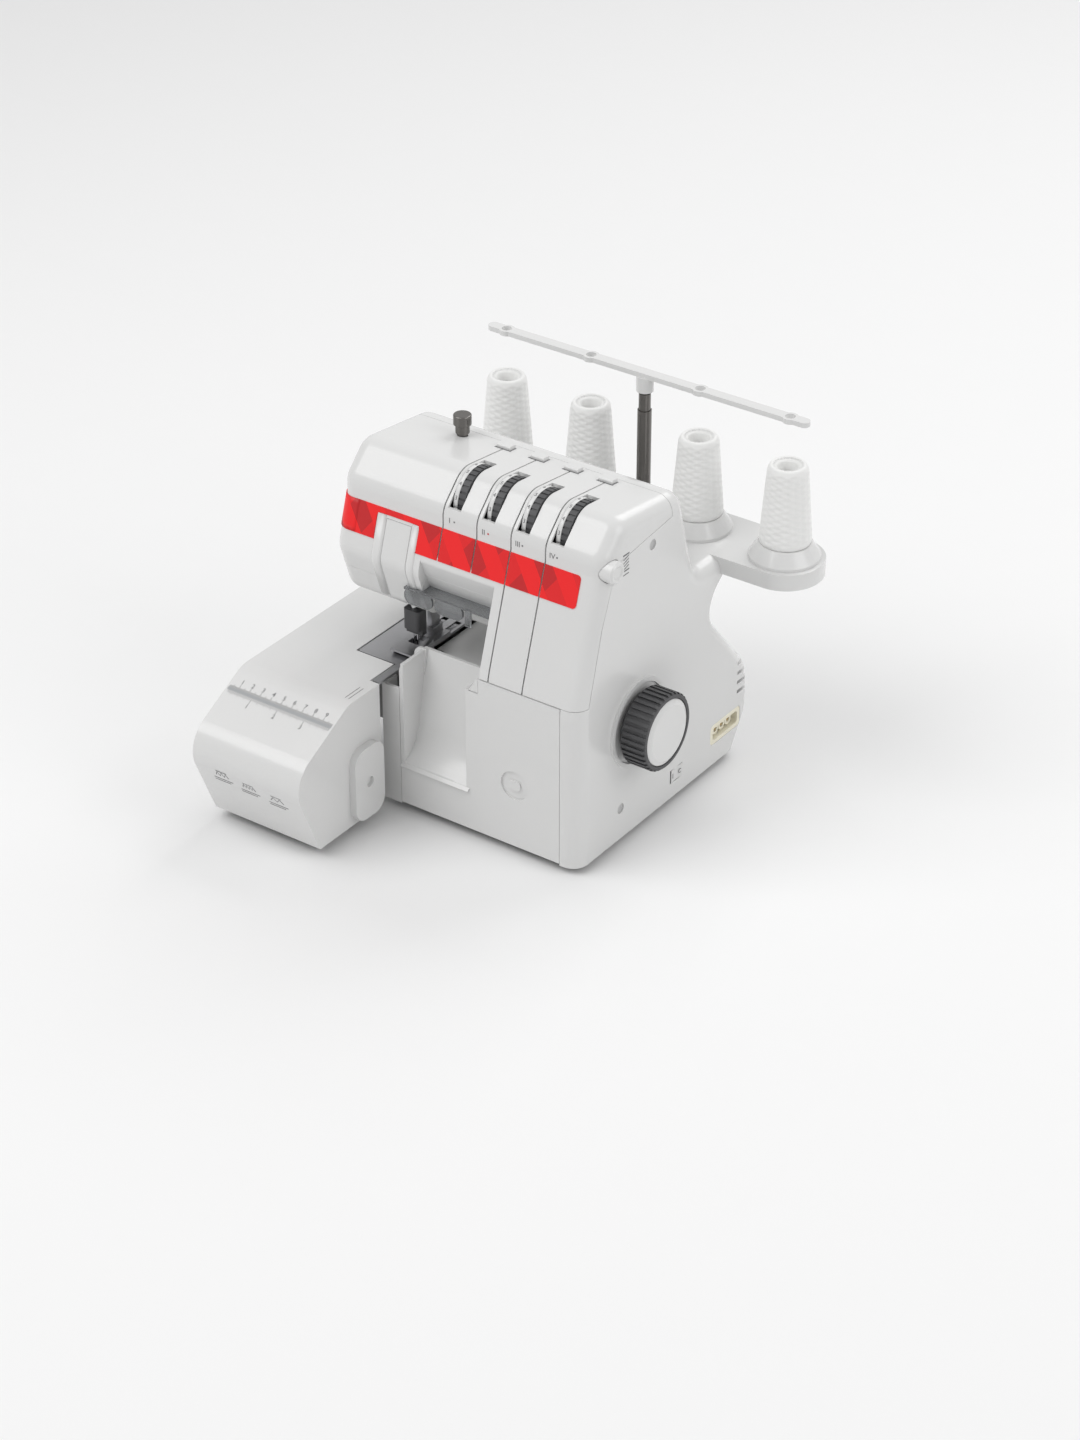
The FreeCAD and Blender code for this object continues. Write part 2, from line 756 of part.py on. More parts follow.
def make_front_band():
    """Coloured trim let on to the leaning panel, open at the thread slots and the take-up cover."""
    body = new_body("front_band")
    face_low = lean_at(d.band_bottom_z)
    face_high = lean_at(d.band_top_z)
    skin = [
        (face_low - d.band_thickness, d.band_bottom_z),
        (face_low, d.band_bottom_z),
        (face_high, d.band_top_z),
        (face_high - d.band_thickness, d.band_top_z),
    ]
    pad(body, "x", d.band_left, d.band_right, skin)
    band_room = box(face_low - 2, face_high + 2, d.band_bottom_z - 1, d.band_top_z + 1)
    trim = 0.01
    around = box(d.band_left - 1, d.band_right + 1, d.band_bottom_z - 1, d.band_top_z + 1)
    kept = box(d.band_left + trim, d.band_right - trim,
               d.band_bottom_z + trim, d.band_top_z - trim, d.band_corner)
    cut(body, "y", face_low - 2, face_high + 2, around, kept)
    notch = box(d.band_notch_left, d.band_notch_right, d.band_bottom_z - 1, d.band_notch_top, d.band_corner)
    cut(body, "y", face_low - 2, face_high + 2, notch)
    for slot in slot_stations():
        cut(body, "x", slot - d.slot_width / 2, slot + d.slot_width / 2, band_room)


for make in (make_main_housing, make_front_cover, make_take_up_cover, make_front_band):
    make()

# Spool stand, thread guide and thread


def spool_y():
    """Y of the line of spools and of the mast."""
    return (d.stand_front + d.stand_rear) / 2


def spool_stations():
    """X of the four spools, two on each side of the mast."""
    offsets = (-d.outer_spool_offset, -d.inner_spool_offset, d.inner_spool_offset, d.outer_spool_offset)
    return [d.mast_x + offset for offset in offsets]


def group(label, bodies):
    """Join alike loose pieces into one node, each still a solid of its own."""
    for body in bodies:
        nodes.remove(body)
    compound = doc.addObject("Part::Compound", label)
    compound.Label = label
    compound.Links = bodies
    nodes.append(compound)
    return compound


def turned_piece(label, corners, x, y, z, axis="z"):
    """Make a turned piece and stand it on an axis of the machine."""
    body = new_body(label)
    turn(body, corners)
    place(body, x, y, z, axis)
    return body


def rod(radius, length):
    """Half section of a plain rod."""
    return box(0, radius, 0, length)


def tube(bore, radius, length):
    """Half section of a plain tube."""
    return box(bore, radius, 0, length)


def make_spool_stand():
    """Round-ended shelf behind the column, with seats for the pins and the mast."""
    body = new_body("spool_stand")
    low = d.stand_top - d.stand_thickness
    half_depth = (d.stand_rear - d.stand_front) / 2
    shelf = box(d.stand_left, d.stand_right, d.stand_front, d.stand_rear, half_depth * 0.98)
    pad(body, "z", low, d.stand_top, shelf)
    holes = [Round(x, spool_y(), d.spool_pin_radius) for x in spool_stations()]
    cut(body, "z", low + 4, d.stand_top + 1, *holes)
    cut(body, "z", low + 4, d.stand_top + 1, Round(d.mast_x, spool_y(), d.mast_radius))


def make_spools():
    """Pins, flared holders and cones of thread at the four stations."""
    holders = []
    pins = []
    cones = []
    boss = d.cone_bore_radius - 1
    rim = d.cone_holder_height
    holder_section = [
        (d.spool_pin_radius, 0),
        (d.cone_holder_radius, 0),
        (d.cone_holder_radius, 2.5),
        (d.cone_base_radius, rim),
        (boss, rim),
        (boss, rim * 2),
        (d.spool_pin_radius, rim * 2),
    ]
    lip = d.cone_top_radius - 4.5
    cone_section = [
        (d.cone_bore_radius, 0),
        (d.cone_base_radius - 1, 0),
        (d.cone_base_radius, 2),
        (d.cone_top_radius, d.cone_height - 5, 4),
        (lip, d.cone_height - 1.5),
        (lip, d.cone_height),
        (d.cone_bore_radius, d.cone_height),
    ]
    pin_foot = d.stand_top - d.stand_thickness + 4
    for index, x in enumerate(spool_stations(), start=1):
        holders.append(turned_piece("cone_holder_%d" % index, holder_section, x, spool_y(), d.stand_top))
        pin = rod(d.spool_pin_radius, d.stand_top + d.spool_pin_height - pin_foot)
        pins.append(turned_piece("spool_pin_%d" % index, pin, x, spool_y(), pin_foot))
        cone_z = d.stand_top + rim + 0.3
        cones.append(turned_piece("thread_cone_%d" % index, cone_section, x, spool_y(), cone_z))
    group("cone_holders", holders)
    group("spool_pins", pins)
    group("thread_cones", cones)


def make_mast():
    """Three telescopic stages and the guide bar with its thread rings."""
    foot = d.stand_top - d.stand_thickness + 4
    middle_radius = d.mast_radius - d.mast_wall - d.slide_clearance
    inner_radius = middle_radius - d.mast_wall - d.slide_clearance
    length = d.mast_top - foot
    outer = tube(d.mast_radius - d.mast_wall, d.mast_radius, length)
    turned_piece("mast_outer", outer, d.mast_x, spool_y(), foot)
    middle = tube(middle_radius - d.mast_wall, middle_radius, length)
    turned_piece("mast_middle", middle, d.mast_x, spool_y(), foot + d.mast_step)
    turned_piece("mast_inner", rod(inner_radius, length), d.mast_x, spool_y(), foot + d.mast_step * 2)
    bar = new_body("guide_bar")
    top = d.mast_top + d.mast_step * 2
    half = d.guide_bar_length / 2
    side = d.guide_bar_width / 2
    strip = box(d.mast_x - half, d.mast_x + half, spool_y() - side, spool_y() + side, side * 0.96)
    rings = [Round(x, spool_y(), d.guide_ring_radius) for x in spool_stations()]
    pad(bar, "z", top, top + d.guide_bar_thickness, strip)
    eyes = [Round(x, spool_y(), d.guide_ring_radius + d.guide_ring_wall) for x in spool_stations()]
    pad(bar, "z", top, top + d.guide_bar_thickness, *eyes)
    cut(bar, "z", top - 1, top + d.guide_bar_thickness + 1, *rings)
    pad(bar, "z", top - d.mast_step + 2, top + 0.5, Round(d.mast_x, spool_y(), d.mast_radius + 1.2))
    bore = Round(d.mast_x, spool_y(), inner_radius + d.running_clearance)
    cut(bar, "z", top - d.mast_step, top + 0.2, bore)


for make in (make_spool_stand, make_spools, make_mast):
    make()

# Base, cast frame and drive


def base_top():
    """Z of the top of the base plate."""
    return d.skirt_z + d.base_plate_thickness


def make_base():
    """Bottom plate with the lugs of the cover's hinge, and its rubber feet."""
    body = new_body("base_plate")
    left = d.bed_left + d.base_margin
    right = d.casing_right - d.side_round - d.base_margin / 2
    pad(body, "z", d.skirt_z, base_top(), box(left, right, d.base_front_y, d.base_rear_y, 10))
    reach = d.hinge_rod_radius + 2
    for x in (d.cover_left + 40, d.cover_right - 48):
        lug = [
            (d.hinge_rod_y - reach, d.hinge_rod_z - reach, reach * 0.9),
            (d.base_front_y + 2, d.hinge_rod_z - reach),
            (d.base_front_y + 2, base_top() - 1),
            (d.base_front_y + 8, base_top() - 1),
            (d.base_front_y + 8, d.hinge_rod_z + reach),
            (d.hinge_rod_y - reach, d.hinge_rod_z + reach, reach * 0.9),
        ]
        pad(body, "x", x, x + 8, lug)
    cut(body, "x", left, right, Round(d.hinge_rod_y, d.hinge_rod_z, d.hinge_rod_radius))
    feet = []
    inset = d.foot_radius + 4
    rows = (d.base_front_y + inset, d.base_rear_y - inset)
    places = [(x, y) for x in (left + inset, right - inset) for y in rows]
    section = [
        (0, 0), (d.foot_radius - 1, 0), (d.foot_radius, 1.5), (d.foot_radius, d.skirt_z), (0, d.skirt_z),
    ]
    for index, (x, y) in enumerate(places, start=1):
        feet.append(turned_piece("rubber_foot_%d" % index, section, x, y, 0))
    group("rubber_feet", feet)
    length = d.cover_right - d.cover_left - 8
    hinge_rod = rod(d.hinge_rod_radius, length)
    turned_piece("cover_hinge_rod", hinge_rod, d.cover_left + 4, d.hinge_rod_y, d.hinge_rod_z, "x")


def frame_wall_outline():
    """Side view of the frame's upright wall."""
    return [
        (d.shaft_y - 34, base_top(), 6),
        (d.motor_y - d.motor_radius - 5, base_top(), 6),
        (d.motor_y - d.motor_radius - 5, d.waist_z, 20),
        (d.head_arm_rear + 8, d.head_bottom_z + 30, 20),
        (d.head_arm_rear + 8, d.head_arm_top + 4, 6),
        (d.beam_front, d.head_arm_top + 4, 6),
        (d.beam_front, d.needle_block_bottom, 12),
        (d.shaft_y - 34, d.head_bottom_z + 20, 12),
    ]


def make_frame():
    """Cast frame: an upright wall, the head arm with the needle block, and the bed beam."""
    body = new_body("frame_casting")
    wall_right = d.frame_wall_left + d.frame_wall_thickness
    pad(body, "x", d.frame_wall_left, wall_right, frame_wall_outline())
    arm = box(d.beam_front, d.head_arm_rear, d.head_arm_bottom, d.head_arm_top, 4)
    pad(body, "x", d.needle_block_left, d.frame_wall_left + 1, arm)
    block = box(d.needle_block_front, d.head_arm_rear, d.needle_block_bottom, d.head_arm_bottom + 6)
    pad(body, "x", d.needle_block_left, d.needle_block_right, block)
    pivot_lug = box(d.presser_pivot_y - 20, d.presser_pivot_y + 8,
                    d.presser_pivot_z - 8, d.head_arm_bottom, 6)
    pad(body, "x", d.presser_arm_x + d.presser_arm_thickness, d.needle_block_right, pivot_lug)
    beam_low = d.arm_bottom + d.arm_wall
    beam = box(d.beam_front, d.beam_rear, beam_low, beam_low + d.beam_height)
    pad(body, "x", d.plate_left, d.frame_wall_left + 1, beam)
    bush_radius = d.shaft_radius + d.bush_wall
    shaft_lug = box(d.shaft_y - bush_radius - 2, d.beam_rear, beam_low + 10, d.shaft_z + bush_radius + 1.6)
    pad(body, "x", d.shaft_left, d.shaft_left + d.shaft_lug_width, shaft_lug)
    knife_lug = box(d.knife_pivot_y - 7, d.beam_front + 1, beam_low + 2, d.knife_pivot_z + 7)
    pad(body, "x", d.knife_x - 6, d.knife_x - 2.5, knife_lug)
    bush_bore = Round(d.shaft_y, d.shaft_z, bush_radius)
    cut(body, "x", d.shaft_left - 1, wall_right + 1, bush_bore)
    pivots = [Round(d.presser_pivot_y, d.presser_pivot_z, d.pin_radius)]
    cut(body, "x", d.presser_arm_x, d.needle_block_right + 1, *pivots)
    cut(body, "x", d.knife_x - 7, d.knife_x - 2, Round(d.knife_pivot_y, d.knife_pivot_z, d.pin_radius))
    needle_bore = Round(d.needle_x, d.needle_y, d.needle_bar_radius + d.running_clearance)
    screw_bore = Round(d.presser_arm_x, d.pressure_screw_y, d.pressure_screw_radius + d.slide_clearance)
    spring_bore = Round(d.presser_arm_x, d.pressure_screw_y, d.spring_radius + 0.6)
    cut(body, "z", d.needle_block_bottom - 1, d.head_arm_bottom + 8, needle_bore)
    cut(body, "z", d.presser_pivot_z - 9, d.head_arm_bottom + 8, spring_bore)
    cut(body, "z", d.head_arm_bottom, d.head_arm_top + 1, screw_bore)
    looper_bore = d.looper_shaft_radius + d.running_clearance
    bores = [Round(x, d.looper_shaft_z, looper_bore) for x in (d.lower_looper_x, d.upper_looper_x)]
    cut(body, "y", d.beam_front - 1, d.beam_rear + 1, *bores)
    bushes = []
    section = tube(d.shaft_radius + d.running_clearance, bush_radius, d.frame_wall_thickness)
    for index, x in enumerate((d.shaft_left, d.frame_wall_left), start=1):
        bushes.append(turned_piece("shaft_bush_%d" % index, section, x, d.shaft_y, d.shaft_z, "x"))
    group("shaft_bushes", bushes)
    pin = rod(d.pin_radius, d.needle_block_right - d.presser_arm_x + d.presser_arm_thickness)
    presser_pin_x = d.presser_arm_x - d.presser_arm_thickness
    presser_pin = turned_piece("presser_pin", pin, presser_pin_x, d.presser_pivot_y, d.presser_pivot_z, "x")
    short_pin = rod(d.pin_radius, 6.4)
    knife_pin = turned_piece("knife_pin", short_pin, d.knife_x - 6, d.knife_pivot_y, d.knife_pivot_z, "x")
    group("pivot_pins", [presser_pin, knife_pin])


def make_free_arm():
    """Hollow arm under the needle plate, open above and towards the bed."""
    body = new_body("free_arm")
    plate_bottom = d.plate_top - d.plate_thickness
    step = d.plate_left - d.arm_clearance
    section = box(d.arm_front, d.arm_rear, d.arm_bottom, plate_bottom - 1.2, 3)
    pad(body, "x", d.arm_left, d.plate_right, section)
    pad(body, "x", step, d.plate_right, box(d.arm_front, d.arm_rear, d.arm_bottom + 4, plate_bottom))
    front, rear = d.arm_front + d.arm_wall, d.arm_rear - d.arm_wall
    inside = box(front, rear, d.arm_bottom + d.arm_wall, plate_bottom + 1)
    cut(body, "x", step + d.arm_wall, d.plate_right + 1, inside)
    shut = box(front, rear, d.arm_bottom + d.arm_wall, plate_bottom - 4)
    cut(body, "x", d.arm_left + d.arm_wall, step + d.arm_wall + 1, shut)


def make_drive():
    """Handwheel, main shaft, pulleys, belt and motor."""
    wheel_x = d.casing_right + d.handwheel_gap
    length = wheel_x + d.handwheel_width - 6 - d.shaft_left
    turned_piece("main_shaft", rod(d.shaft_radius, length), d.shaft_left, d.shaft_y, d.shaft_z, "x")
    rim = new_body("handwheel_rim")
    width = d.handwheel_width
    turn(rim, [
        (d.shaft_radius, 0),
        (d.handwheel_radius - 4, 0),
        (d.handwheel_radius, 4),
        (d.handwheel_radius, width - d.handwheel_bevel),
        (d.handwheel_radius - d.handwheel_bevel, width),
        (d.handwheel_face_radius + 0.3, width),
        (d.handwheel_face_radius + 0.3, width - 5),
        (d.shaft_radius, width - 5),
    ])
    rib = d.handwheel_rib_depth
    groove = cut(rim, "z", -1, width + 1, box(d.handwheel_radius - rib, d.handwheel_radius + 2, -rib, rib))
    ring = rim.newObject("PartDesign::PolarPattern", "handwheel_ribs")
    ring.Originals = [groove]
    ring.Axis = (next(item for item in rim.Origin.OriginFeatures if item.Role == "Z_Axis"), [""])
    ring.Angle = 360
    ring.Occurrences = 36
    rim.Tip = ring
    place(rim, wheel_x, d.shaft_y, d.shaft_z, "x")
    face = [
        (0, 0),
        (d.handwheel_face_radius, 0),
        (d.handwheel_face_radius, 4.5, 1.5),
        (d.handwheel_face_radius - 4, 6.5),
        (0, 6.5),
    ]
    turned_piece("handwheel_face", face, wheel_x + width - 5, d.shaft_y, d.shaft_z, "x")
    flange = d.pulley_radius + 2.4
    side = d.pulley_width + 3
    pulley = [
        (d.shaft_radius, 0), (flange, 0), (flange, 1), (d.pulley_radius, 1),
        (d.pulley_radius, side - 1), (flange, side - 1), (flange, side), (d.shaft_radius, side),
    ]
    turned_piece("drive_pulley", pulley, d.pulley_left - 1.5, d.shaft_y, d.shaft_z, "x")
    plate_left = d.pulley_left - 2.5 - d.motor_plate_thickness
    motor_left = plate_left - d.motor_length
    bore = d.motor_shaft_radius + d.running_clearance
    motor = [
        (bore, 0), (d.motor_radius - 6, 0), (d.motor_radius, 6), (d.motor_radius, d.motor_length),
        (bore, d.motor_length),
    ]
    turned_piece("motor_body", motor, motor_left, d.motor_y, d.motor_z, "x")
    plate = new_body("motor_bracket")
    reach = d.motor_radius + 3
    outline = box(d.motor_y - reach, d.motor_y + reach, base_top(), d.motor_z + reach, 5)
    pad(plate, "x", plate_left, plate_left + d.motor_plate_thickness, outline)
    cut(plate, "x", plate_left - 1, plate_left + 10, Round(d.motor_y, d.motor_z, d.motor_shaft_radius + 5))
    shaft_end = d.motor_length / 2 + d.motor_plate_thickness + 2.5 + d.pulley_width + 2
    wheel = shaft_end - d.pulley_width - 2
    spindle = [
        (0, 0), (d.motor_shaft_radius, 0), (d.motor_shaft_radius, wheel), (d.motor_pulley_radius, wheel),
        (d.motor_pulley_radius, wheel + d.pulley_width), (d.motor_shaft_radius, wheel + d.pulley_width),
        (d.motor_shaft_radius, shaft_end), (0, shaft_end),
    ]
    turned_piece("motor_pulley", spindle, motor_left + d.motor_length / 2, d.motor_y, d.motor_z, "x")
    make_belt()


def make_belt():
    """Loop round the two pulleys: straight runs along their common tangents, with an arc round each."""
    body = new_body("drive_belt")
    span = math.hypot(d.motor_y.value - d.shaft_y.value, d.motor_z.value - d.shaft_z.value)
    taper = math.asin((d.pulley_radius.value - d.motor_pulley_radius.value) / span)

    def loop(offset):
        large = d.pulley_radius + offset
        small = d.motor_pulley_radius + offset
        apex = large / math.sin(taper)
        half = (apex + large) * math.tan(taper)
        return [(-large, -half, large * 0.96), (apex, 0, small), (-large, half, large * 0.96)]

    inner = loop(d.belt_clearance)
    outer = loop(d.belt_clearance + d.belt_thickness)
    pad(body, "z", d.pulley_left, d.pulley_left + d.pulley_width - 1, outer, inner)
    run = Vector(0, d.motor_y.value - d.shaft_y.value, d.motor_z.value - d.shaft_z.value)
    frame = FreeCAD.Rotation(run, Vector(), Vector(1, 0, 0), "ZXY")
    body.Placement = FreeCAD.Placement(Vector(), frame)
    body.setExpression("Placement.Base.y", d.shaft_y.text)
    body.setExpression("Placement.Base.z", d.shaft_z.text)


for make in (make_base, make_frame, make_free_arm, make_drive):
    make()

# Stitch-forming pieces


def make_needle_group():
    """Needle bar, clamp and the two needles, at the low end of their stroke."""
    bar = rod(d.needle_bar_radius, d.needle_bar_length)
    turned_piece("needle_bar", bar, d.needle_x, d.needle_y, d.needle_bar_bottom)
    clamp = new_body("needle_clamp")
    clamp_bottom = d.needle_bar_bottom - d.clamp_height
    half = d.clamp_width / 2
    block = box(d.needle_x - half, d.needle_x + half, d.needle_y - half * 0.8, d.needle_y + half * 0.8, 3)
    pad(clamp, "z", clamp_bottom, d.needle_bar_bottom, block)
    lip = box(d.needle_y - half * 0.8 - 1, d.needle_y - half * 0.2, clamp_bottom - 1, clamp_bottom + 5)
    cut(clamp, "x", d.needle_x - half - 1, d.needle_x + half + 1, lip)
    needles = []
    section = [
        (0, 0), (d.needle_radius, 6), (d.needle_radius, d.needle_length), (0, d.needle_length),
    ]
    for index, side in enumerate((-1, 1), start=1):
        x = d.needle_x + d.needle_spacing / 2 * side
        tip_z = clamp_bottom - d.needle_length
        needles.append(turned_piece("needle_%d" % index, section, x, d.needle_y, tip_z))
    group("needles", needles)


def make_plate_group():
    """Needle plate with its slots, the fixed knife beside it and the toothed feed dog below."""
    plate = new_body("needle_plate")
    bottom = d.plate_top - d.plate_thickness
    pad(plate, "z", bottom, d.plate_top, box(d.plate_left, d.plate_right, d.arm_front, d.arm_rear, 2))
    tongue_left = d.plate_right - d.plate_tongue_width
    tongue = box(tongue_left, d.plate_right, d.plate_tongue_front, d.arm_front + 4, 1.5)
    pad(plate, "z", bottom, d.plate_top, tongue)
    needle_slot = box(d.needle_x - 5, d.needle_x + 5, d.needle_y - 3, d.needle_y + 3, 2.9)
    rows = (d.needle_x - 9, d.needle_x + 3)
    travel = d.feed_travel + 0.5
    slots = [box(x - 0.6, x + 4.6, d.feed_front - travel, d.feed_rear + travel) for x in rows]
    cut(plate, "z", bottom - 1, d.plate_top + 1, needle_slot, *slots)
    dog = new_body("feed_dog")
    foot = bottom - 7
    pad(dog, "z", foot, bottom - 1, box(rows[0], rows[1] + 4, d.feed_front, d.feed_rear))
    ridge = bottom + d.plate_thickness * 0.5
    for x in rows:
        pad(dog, "z", bottom - 2, ridge, box(x, x + 4, d.feed_front, d.feed_rear))
    teeth = 12
    pitch = (d.feed_rear - d.feed_front) / teeth
    saw = [(d.feed_front, ridge - 0.3)]
    for index in range(teeth):
        tip = d.feed_front + pitch * (index + 0.25)
        saw += [(tip, ridge + 1), (d.feed_front + pitch * (index + 1), ridge - 0.3)]
    saw += [(d.feed_rear, bottom - 1.5), (d.feed_front, bottom - 1.5)]
    for x in rows:
        pad(dog, "x", x, x + 4, saw)
    knife = new_body("lower_knife")
    edge = box(d.needle_y - 14, d.needle_y + 2, bottom - 8, d.plate_top - 0.3)
    pad(knife, "x", d.plate_right, d.plate_right + 2, edge)


def make_upper_knife():
    """Swinging knife on its arm, beside the fixed knife."""
    body = new_body("upper_knife")
    high = d.plate_top + 10
    outline = [
        (d.knife_pivot_y + 6, d.knife_pivot_z - 6, 5.5),
        (d.knife_pivot_y + 6, d.knife_pivot_z + 5, 5),
        (d.needle_y + 3, d.knife_pivot_z + 3, 8),
        (d.needle_y + 3, high),
        (d.needle_y - 13, high - 4),
        (d.needle_y - 9, d.knife_pivot_z - 6, 8),
    ]
    pad(body, "x", d.knife_x - d.knife_thickness, d.knife_x, outline)
    bore = Round(d.knife_pivot_y, d.knife_pivot_z, d.pin_radius + d.running_clearance)
    cut(body, "x", d.knife_x - d.knife_thickness - 1, d.knife_x + 1, bore)


def make_loopers():
    """Lower and upper loopers on their rocking shafts below the needle plate."""
    lower = new_body("lower_looper")
    x, z = d.lower_looper_x, d.looper_shaft_z
    shaft = Round(x, z, d.looper_shaft_radius)
    front = d.needle_y - 10
    pad(lower, "y", front, d.beam_rear, shaft)
    blade_z = d.plate_top - d.plate_thickness - 14
    hook = [
        (x - 6, z - 5, 4), (x + 6, z - 5, 4), (x + 4, blade_z - 6, 6), (x + 22, blade_z - 1),
        (x + 23, blade_z + 1), (x - 3, blade_z + 4, 6),
    ]
    pad(lower, "y", front, front + 4, hook)
    upper = new_body("upper_looper")
    x = d.upper_looper_x
    front = d.needle_y + 14
    pad(upper, "y", front, d.beam_rear, Round(x, z, d.looper_shaft_radius))
    arm = [
        (x + 4.5, z - 5, 4), (x + 4, z + 24, 8), (x - 12, blade_z + 2), (x - 14, blade_z),
        (x - 3, z + 17, 6), (x - 4.5, z - 5, 4),
    ]
    pad(upper, "y", front, front + 4, arm)


def make_presser():
    """Presser arm and foot, the pressure screw with its spring, and the lifter behind the head."""
    arm = new_body("presser_arm")
    half = d.presser_arm_thickness / 2
    left, right = d.presser_arm_x - half, d.presser_arm_x + half
    y, z = d.presser_pivot_y, d.presser_pivot_z
    ankle = d.plate_top + d.foot_height
    shank_y = d.needle_y + 15
    outline = [
        (y + 7, z - 7, 6.5), (y + 7, z + 7, 6.5), (shank_y + 14, z + 7, 10),
        (shank_y, d.head_bottom_z - 6, 8), (shank_y, ankle), (shank_y + 10, ankle),
        (shank_y + 12, d.head_bottom_z - 6, 8), (shank_y + 24, z - 7, 10),
    ]
    pad(arm, "x", left, right, outline)
    bore = Round(y, z, d.pin_radius + d.running_clearance)
    cut(arm, "x", left - 1, right + 1, bore)
    foot = new_body("presser_foot")
    sole = d.plate_top + 0.3
    toe = [
        (d.needle_y - 20, sole + 3), (d.needle_y - 16, sole, 3), (d.needle_y + 28, sole),
        (d.needle_y + 28, sole + 4), (d.needle_y - 20, sole + 4.5),
    ]
    pad(foot, "x", d.needle_x - 9, d.needle_x + 12, toe)
    pad(foot, "x", left - 3, right + 2, box(shank_y - 1, shank_y + 11, sole + 3, ankle))
    opening = box(d.needle_x - 5, d.needle_x + 5, d.needle_y - 4, d.needle_y + 10, 2)
    cut(foot, "z", sole - 1, sole + 6, opening)
    knob = d.pressure_screw_radius + 3
    top = d.top_front_z - 4
    low = d.head_arm_bottom + 6
    section = [
        (0, 0), (d.pressure_screw_radius, 0),
        (d.pressure_screw_radius, top - low), (knob - 1.5, top - low),
        (knob - 1.5, top - low + 6), (knob, top - low + 7), (knob, top - low + 15, 1), (0, top - low + 15),
    ]
    turned_piece("pressure_screw", section, d.presser_arm_x, d.pressure_screw_y, low)
    rest = z + 10
    sleeve = tube(d.spring_radius - 1.5, d.spring_radius, low - 1 - rest)
    turned_piece("pressure_spring", sleeve, d.presser_arm_x, d.pressure_screw_y, rest)
    make_lifter()


def make_lifter():
    """Lever behind the needle that raises the foot, on a bracket under the head."""
    y, z = d.lifter_y, d.lifter_z
    left = d.needle_x - 8
    bracket = new_body("lifter_bracket")
    ear = [(y - 7, d.head_bottom_z), (y - 6, z - 6, 5.5), (y + 6, z - 6, 5.5), (y + 7, d.head_bottom_z)]
    pad(bracket, "x", left - 4, left - 0.5, ear)
    pad(bracket, "x", left - 1, left + 10, Round(y, z, d.pin_radius))
    lever = new_body("lifter_lever")
    reach = d.lifter_length
    outline = [
        (y - 5.5, z + 5.5, 5.4), (y + 5.5, z + 5.5, 5.4), (y + reach * 0.7, z - reach * 0.62, 8),
        (y + reach * 0.76, z - reach * 0.75, 3), (y + reach * 0.6, z - reach * 0.75, 3),
        (y - 5.5, z - 5.5, 5.4),
    ]
    pad(lever, "x", left, left + 9, outline)
    bore = Round(y, z, d.pin_radius + d.running_clearance)
    cut(lever, "x", left - 1, left + 11, bore)


def make_visor():
    """Tinted eye guard under the head: a shelf with two hanging tabs and a plug."""
    body = new_body("visor")
    front, top = d.visor_front, d.visor_top
    behind_tabs = front + d.visor_thickness
    under = top - d.visor_thickness
    tab_low = top - d.visor_drop
    tab_width = (d.visor_right - d.visor_left) / 3
    first = box(d.visor_left, d.visor_left + tab_width, tab_low, top, 6)
    second_left = d.visor_left + tab_width + d.visor_gap
    second = box(second_left, second_left + tab_width, tab_low, top, 6)
    plug_left = second_left + tab_width + d.visor_gap
    plug = box(plug_left, plug_left + d.visor_plug_width, tab_low - 2, top)
    pad(body, "y", front, behind_tabs, first, second, plug)
    pad(body, "x", d.visor_left, d.visor_right, box(front, behind_tabs + 1, under, top))
    shelf = box(front, d.visor_back, under, top)
    pad(body, "x", d.throat_right_of_nose + d.seam_gap, d.visor_right, shelf)


def top_at(y):
    """Z of the sloping top at a depth between its front and rear corners."""
    share = (y - d.top_front_y) / (d.top_rear_y - d.top_front_y)
    return d.top_front_z + (d.top_rear_z - d.top_front_z) * share


def make_tension():
    """Four thumb-wheel tension dials on posts, with their discs, rail and the clips on the top."""
    posts = []
    discs = []
    clips = []
    rail = new_body("tension_rail")
    ends = (d.first_slot_x - 16, d.first_slot_x + d.slot_pitch * 3 + 20)
    rail_front = d.dial_y + d.dial_radius + 1.5
    bar = box(rail_front, d.beam_front, d.dial_z - 9, d.dial_z + 9)
    pad(rail, "x", ends[0], ends[1], bar)
    for index, slot in enumerate(slot_stations(), start=1):
        middle = dial_station(slot)
        lug = box(d.dial_y - 6, rail_front + 1, d.dial_z - 6, d.dial_z + 6, 5)
        lug_x = slot - 7
        pad(rail, "x", lug_x - 3, lug_x, lug)
        length = middle + d.dial_width / 2 + 3 - lug_x
        post = rod(d.tension_post_radius, length)
        posts.append(turned_piece("tension_post_%d" % index, post, lug_x, d.dial_y, d.dial_z, "x"))
        disc = tube(d.tension_post_radius, 10, 0.8)
        for side in (-1.2, 0.4):
            name = "tension_disc_%d_%d" % (index, len(discs) % 2)
            discs.append(turned_piece(name, disc, slot + side, d.dial_y, d.dial_z, "x"))
        make_dial(index, middle)
        clip = new_body("thread_clip_%d" % index)
        front, rear = d.cover_seam_y - 12, d.cover_seam_y - 5
        crest = 3
        outline = [
            (front, top_at(front)), (rear, top_at(rear)),
            (rear, top_at(rear) + crest), (front, top_at(front) + crest, 1.5),
        ]
        pad(clip, "x", slot - 6, slot + 6, outline)
        clips.append(clip)
    group("tension_posts", posts)
    group("tension_discs", discs)
    group("thread_clips", clips)


